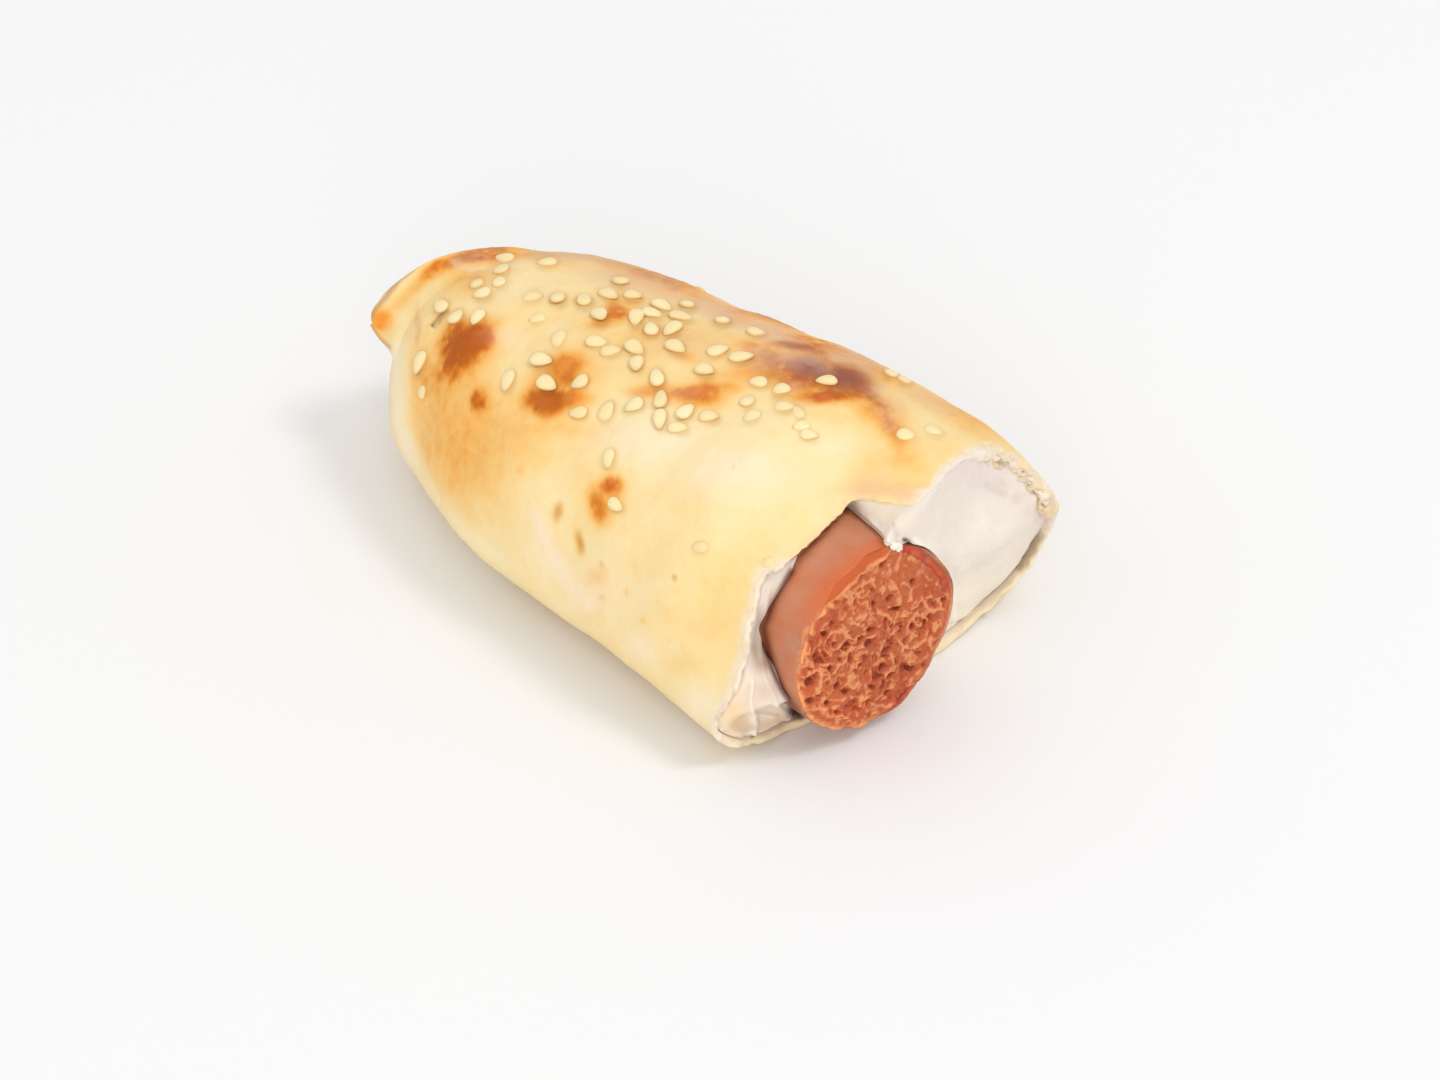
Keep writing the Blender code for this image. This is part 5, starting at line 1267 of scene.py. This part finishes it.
# shaded rim beside the dark gap on the far lower side
in_gap = (ramp(5, -1, fill_deg) * ramp(-62, -50, fill_deg))[None] * (np.arange(len(white)) < len(back_rows) + 3)[:, None]
wt = mix(wt, seen(176, 152, 122), 0.7 * in_gap)
back_pole = wrap_xyz(np.array([X_BACK + WALL + 0.3]), np.array([0.0]), WALL + 0.1)
bore_pole = np.array([[SAUSAGE_END - 0.12, sausage_axis(SAUSAGE_END), 0.0]])
points = np.concatenate([back_pole, white.reshape(-1, 3), bore_pole])
tones = np.concatenate([[WHITE], wt.reshape(-1, 3), [WHITE]])
faces = tube_faces(len(white), N_W, 0, len(points) - 1)


def crumb_of_white(u, v, x, size, seed):
    """Small torn lump of the layer, at X = x on the line of sight of a pixel: its points and faces."""
    d = sight(u, v)
    c = EYE + d * (x - EYE[0]) / d[0]
    a = np.arctan2(c[2], c[1])
    axes = np.array([[1, 0, 0], [0, -np.sin(a), np.cos(a)], [0, np.cos(a), np.sin(a)]])
    lat = np.linspace(0, np.pi, 20)[1:-1]
    lon = np.arange(28) / 28 * 2 * np.pi
    ball = np.stack([np.sin(lat)[:, None] * np.cos(lon), np.sin(lat)[:, None] * np.sin(lon),
                     np.cos(lat)[:, None] + 0 * lon], -1).reshape(-1, 3)
    ball = np.concatenate([[[0, 0, 1]], ball, [[0, 0, -1]]])
    ball = ball * (1 + 0.55 * fbm(ball * 1.2, 3, seed=seed) + 0.25 * fbm(ball * 2.7, 2, seed=seed + 5))[:, None]
    return c + (ball * np.array(size)) @ axes, tube_faces(18, 28, 0, 1 + 18 * 28)


for u, v, x, size, seed in [(896, 546, -0.50, (0.52, 0.80, 0.50), 301), (899, 549, -0.30, (0.34, 0.44, 0.36), 307), (890, 541, -1.15, (0.55, 0.75, 0.45), 311)]:
    lump, lump_faces = crumb_of_white(u, v, x, size, seed)
    lump[:, 0] = np.minimum(lump[:, 0], hi[0])
    faces += [[len(points) + i for i in f] for f in lump_faces]
    points = np.concatenate([points, lump])
    tones = np.concatenate([tones, np.broadcast_to(seen(250, 240, 224), lump.shape)])
filling = make_object("white_layer", points, faces, tones)
print("white volume mm3", faces_out(filling), "faces", len(filling.data.polygons))

# ---------------------------------------------------------------- seeds
# hidden side: X, direction in degrees, turn in degrees
SEEDS_HIDDEN = [
    (-70, 30, 20), (-63, 33, 75), (-57, 26, 140), (-52, 32, 10), (-47, 27, 60), (-41, 32, 110), (-36, 26, 30),
    (-31, 31, 160), (-26, 27, 80), (-44, 19, 0), (-55, 17, 50), (-66, 20, 95), (-34, 18, 130), (-22, 30, 20),
    (-74, 26, 45), (-49, 10, 85), (-60, 8, 15), (-38, 9, 60), (-29, 14, 100), (-18, 20, 40),
]
rng = np.random.default_rng(20)
N_SR, N_SC = 13, 14
st = -np.cos(np.linspace(0, np.pi, N_SR + 2)[1:-1])
sc = np.arange(N_SC) / N_SC * 2 * np.pi


def seed_shape(length, width, thick, plump):
    """Rows of a sesame seed, pointed at one end, along local X."""
    rows = []
    for a in st:
        w = np.sqrt(1 - a * a) * (1 - (0.30 + plump) * a) * 0.5
        c, s = np.cos(sc), np.sin(sc)
        rows.append(np.stack([np.full(N_SC, a * length / 2), width * w * np.sign(c) * np.abs(c) ** 0.9,
                              thick * w * np.sign(s) * np.abs(s) ** 0.8], 1))
    return np.array(rows)


def seed_faces(first):
    return [[first + i for i in f] for f in tube_faces(N_SR, N_SC, 0, 1 + N_SR * N_SC)]


seed_points, seed_polys, seed_tones = [], [], []
top_limit = float(hi[2])


def add_seed(p, n, along, length, width, deep):
    along = along - n * (along @ n)
    along /= np.linalg.norm(along)
    side = np.cross(n, along)
    thick = 0.95 * (0.9 + 0.2 * rng.random())
    tilt = np.radians(rng.normal(0, 5))
    a2 = along * np.cos(tilt) + n * np.sin(tilt)
    n2 = -along * np.sin(tilt) + n * np.cos(tilt)
    body = seed_shape(length, width, thick, 0.08 * rng.random())
    first = sum(len(s) for s in seed_points)
    local = np.concatenate([[[-length / 2, 0, 0]], body.reshape(-1, 3), [[length / 2, 0, 0]]])
    lift = thick * (0.30 - 0.62 * deep)
    world = p + n * lift + local[:, :1] * a2 + local[:, 1:2] * side + local[:, 2:] * n2
    over = world[:, 2].max() - top_limit
    if over > 0:
        world[:, 2] -= over
    seed_points.append(world)
    seed_polys.extend(seed_faces(first))
    tone = mix(SEED, SEED_TOAST_AND_SHADE, np.array(0.15 + 0.35 * rng.random() + 0.25 * deep))
    # painted shade: each seed darker from its top down to its sides and underside
    height = local[:, 2] / (thick / 2)
    edge = 1 - np.clip(height, 0, 1)
    t = mix(np.broadcast_to(tone, world.shape).copy(), SEED_TOAST_AND_SHADE * 0.82, 0.7 * edge**2)
    tip = ramp(0.30, 0.5, local[:, 0] / length)
    t = mix(t, SEED_TOAST_AND_SHADE * 0.8, 0.5 * tip)
    seed_tones.append(t)


for u, v, angle, long_px, wide_px, deep in SEEDS:
    p, n = hit(u, v, seed_tree)
    if p is None:
        print("seed off the surface", u, v)
        continue
    c, s = np.cos(np.radians(angle)), np.sin(np.radians(angle))

    def on_plane(du, dv):
        d = sight(u + du, v + dv)
        return EYE + d * ((p - EYE) @ n) / (d @ n)
    a0, a1 = on_plane(-0.5 * long_px * c, 0.5 * long_px * s), on_plane(0.5 * long_px * c, -0.5 * long_px * s)
    b0, b1 = on_plane(0.5 * wide_px * s, 0.5 * wide_px * c), on_plane(-0.5 * wide_px * s, -0.5 * wide_px * c)
    length = float(np.clip(np.linalg.norm(a1 - a0), 2.3, 3.3))
    width = float(np.clip(np.linalg.norm(b1 - b0), 1.5, 2.0))
    along = (a1 - a0) * (1 if rng.random() < 0.5 else -1)
    if np.linalg.norm(b1 - b0) > 1.3 * np.linalg.norm(a1 - a0):
        along = b1 - b0
        length, width = 2.9, 1.8
    add_seed(p, n, along, length * 1.04, width * 1.04, deep)
for x, deg_, turn in SEEDS_HIDDEN:
    f = np.radians(deg_)
    p = wrap_xyz(np.array([float(x)]), np.array([f]))[0]
    away = p - np.array([x, 8.0, -4.0])
    away /= np.linalg.norm(away)
    where, normal, _, _ = seed_tree.ray_cast(Vector(p + away * 8), Vector(-away))
    n = np.array(normal)
    if n @ away < 0:
        n = -n
    e = np.cross(n, [1, 0, 0])
    e /= np.linalg.norm(e)
    a = np.radians(turn)
    add_seed(np.array(where), n, np.cos(a) * np.array([1.0, 0, 0]) + np.sin(a) * e, 2.9, 1.85, 0.15 + 0.4 * rng.random())
seeds = make_object("sesame_seeds", np.concatenate(seed_points), seed_polys, np.concatenate(seed_tones))
faces_out(seeds)


# ---------------------------------------------------------------- materials
def surface(name, roughness, rough_swing, grain_mm, bump_mm, fine_mm, fine_bump, speckle, sss=0.0, sss_radius=None, specular=0.5,
            coat=0.0):
    """Painted tone with fine speckle, uneven roughness and two scales of bump."""
    mat = bpy.data.materials.new(name)
    mat.use_nodes = True
    nt = mat.node_tree
    shader = nt.nodes["Principled BSDF"]
    tone = nt.nodes.new("ShaderNodeAttribute")
    tone.attribute_type = "GEOMETRY"
    tone.attribute_name = "tone"
    coord = nt.nodes.new("ShaderNodeTexCoord")

    def noise_node(scale_mm, detail, rough=0.55):
        n = nt.nodes.new("ShaderNodeTexNoise")
        n.inputs["Scale"].default_value = 1.0 / (scale_mm * MM)
        n.inputs["Detail"].default_value = detail
        n.inputs["Roughness"].default_value = rough
        nt.links.new(coord.outputs["Object"], n.inputs["Vector"])
        return n

    coarse = noise_node(grain_mm, 4)
    fine = noise_node(fine_mm, 3)
    span = nt.nodes.new("ShaderNodeMapRange")
    span.inputs["From Min"].default_value = 0.3
    span.inputs["From Max"].default_value = 0.7
    span.inputs["To Min"].default_value = 1.0 - speckle
    span.inputs["To Max"].default_value = 1.0 + 0.6 * speckle
    nt.links.new(fine.outputs["Fac"], span.inputs["Value"])
    tint = nt.nodes.new("ShaderNodeVectorMath")
    tint.operation = "SCALE"
    nt.links.new(tone.outputs["Color"], tint.inputs[0])
    nt.links.new(span.outputs["Result"], tint.inputs["Scale"])
    nt.links.new(tint.outputs["Vector"], shader.inputs["Base Color"])
    rough = nt.nodes.new("ShaderNodeMapRange")
    rough.inputs["From Min"].default_value = 0.3
    rough.inputs["From Max"].default_value = 0.7
    rough.inputs["To Min"].default_value = roughness - rough_swing
    rough.inputs["To Max"].default_value = roughness + rough_swing
    nt.links.new(coarse.outputs["Fac"], rough.inputs["Value"])
    nt.links.new(rough.outputs["Result"], shader.inputs["Roughness"])
    bump = nt.nodes.new("ShaderNodeBump")
    bump.inputs["Strength"].default_value = 1.0
    bump.inputs["Distance"].default_value = bump_mm * MM
    nt.links.new(coarse.outputs["Fac"], bump.inputs["Height"])
    bump2 = nt.nodes.new("ShaderNodeBump")
    bump2.inputs["Strength"].default_value = 1.0
    bump2.inputs["Distance"].default_value = fine_bump * MM
    nt.links.new(fine.outputs["Fac"], bump2.inputs["Height"])
    nt.links.new(bump.outputs["Normal"], bump2.inputs["Normal"])
    nt.links.new(bump2.outputs["Normal"], shader.inputs["Normal"])
    shader.inputs["Specular IOR Level"].default_value = specular
    shader.inputs["Coat Weight"].default_value = coat
    shader.inputs["Coat Roughness"].default_value = 0.25
    if sss:
        shader.inputs["Subsurface Weight"].default_value = sss
        shader.inputs["Subsurface Radius"].default_value = sss_radius
        shader.inputs["Subsurface Scale"].default_value = MM
    return mat


def wear(obj, mat):
    obj.data.materials.clear()
    obj.data.materials.append(mat)


wear(dough, surface("baked_dough", 0.60, 0.10, 1.8, 0.10, 0.5, 0.018, 0.02, specular=0.2))
wear(filling, surface("soft_white", 0.55, 0.10, 2.2, 0.12, 0.5, 0.04, 0.02, sss=0.15, sss_radius=(1.6, 1.2, 0.9), specular=0.25))
wear(sausage, surface("sausage_meat", 0.45, 0.08, 1.1, 0.04, 0.35, 0.015, 0.04, specular=0.35))
wear(crumb, surface("torn_crumb", 0.70, 0.08, 0.9, 0.08, 0.3, 0.03, 0.05, sss=0.10, sss_radius=(1.4, 1.1, 0.8), specular=0.15))
wear(seeds, surface("sesame", 0.42, 0.08, 0.8, 0.03, 0.3, 0.015, 0.03, specular=0.5))

for piece, node, slot in ((dough, "dough_wrap", "dough"), (filling, "white_filling", "filling"), (sausage, "sausage", "sausage")):
    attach(piece, "root")
    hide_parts(node)
for piece in (seeds, crumb):
    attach(piece, "root")

# ---------------------------------------------------------------- floor, light, camera
mesh = bpy.data.meshes.new("floor")
mesh.from_pydata([(-4, -4, 0), (4, -4, 0), (4, 4, 0), (-4, 4, 0)], [], [(0, 1, 2, 3)])
floor = bpy.data.objects.new("floor", mesh)
bpy.context.scene.collection.objects.link(floor)
mat = bpy.data.materials.new("pale_floor")
mat.use_nodes = True
shader = mat.node_tree.nodes["Principled BSDF"]
shader.inputs["Base Color"].default_value = (0.845, 0.845, 0.845, 1)
shader.inputs["Roughness"].default_value = 0.9
shader.inputs["Specular IOR Level"].default_value = 0.1
wear(floor, mat)

world = bpy.data.worlds.new("studio")
world.use_nodes = True
world.node_tree.nodes["Background"].inputs["Color"].default_value = (1.0, 1.0, 1.0, 1)
world.node_tree.nodes["Background"].inputs["Strength"].default_value = 0.80
bpy.context.scene.world = world


def soft_light(name, direction, distance, size, power, target=(0.0, 0.0, 0.02)):
    light = bpy.data.lights.new(name, "AREA")
    light.shape = "SQUARE"
    light.size = size
    light.energy = power
    obj = bpy.data.objects.new(name, light)
    d = Vector(direction).normalized()
    obj.location = Vector(target) + d * distance
    obj.rotation_mode = "QUATERNION"
    obj.rotation_quaternion = d.to_track_quat("Z", "Y")
    bpy.context.scene.collection.objects.link(obj)
    return obj


LEVEL_BACK = np.array([BACK[0], BACK[1], 0.0]) / np.hypot(BACK[0], BACK[1])
soft_light("key", tuple(0.62 * RIGHT + 0.25 * LEVEL_BACK + np.array([0, 0, 1.0])), 2.4, 0.62, 13.5)
soft_light("fill_left", tuple(-0.75 * RIGHT + 0.3 * LEVEL_BACK + np.array([0, 0, 0.7])), 2.8, 1.6, 4.0)
soft_light("fill_front", tuple(LEVEL_BACK + np.array([0, 0, 0.45])), 3.2, 1.9, 30.0)

camera_data = bpy.data.cameras.new("camera")
camera_data.lens = LENS
camera_data.sensor_width = SENSOR
camera_data.sensor_fit = "HORIZONTAL"
camera_data.clip_start = 0.01
camera_data.clip_end = 20.0
camera = bpy.data.objects.new("camera", camera_data)
turn = Matrix((RIGHT, UP, BACK)).transposed().to_4x4()
camera.matrix_world = Matrix.Translation(Vector(to_world(EYE))) @ turn
bpy.context.scene.collection.objects.link(camera)
bpy.context.scene.camera = camera
bpy.context.scene.view_settings.view_transform = "Standard"
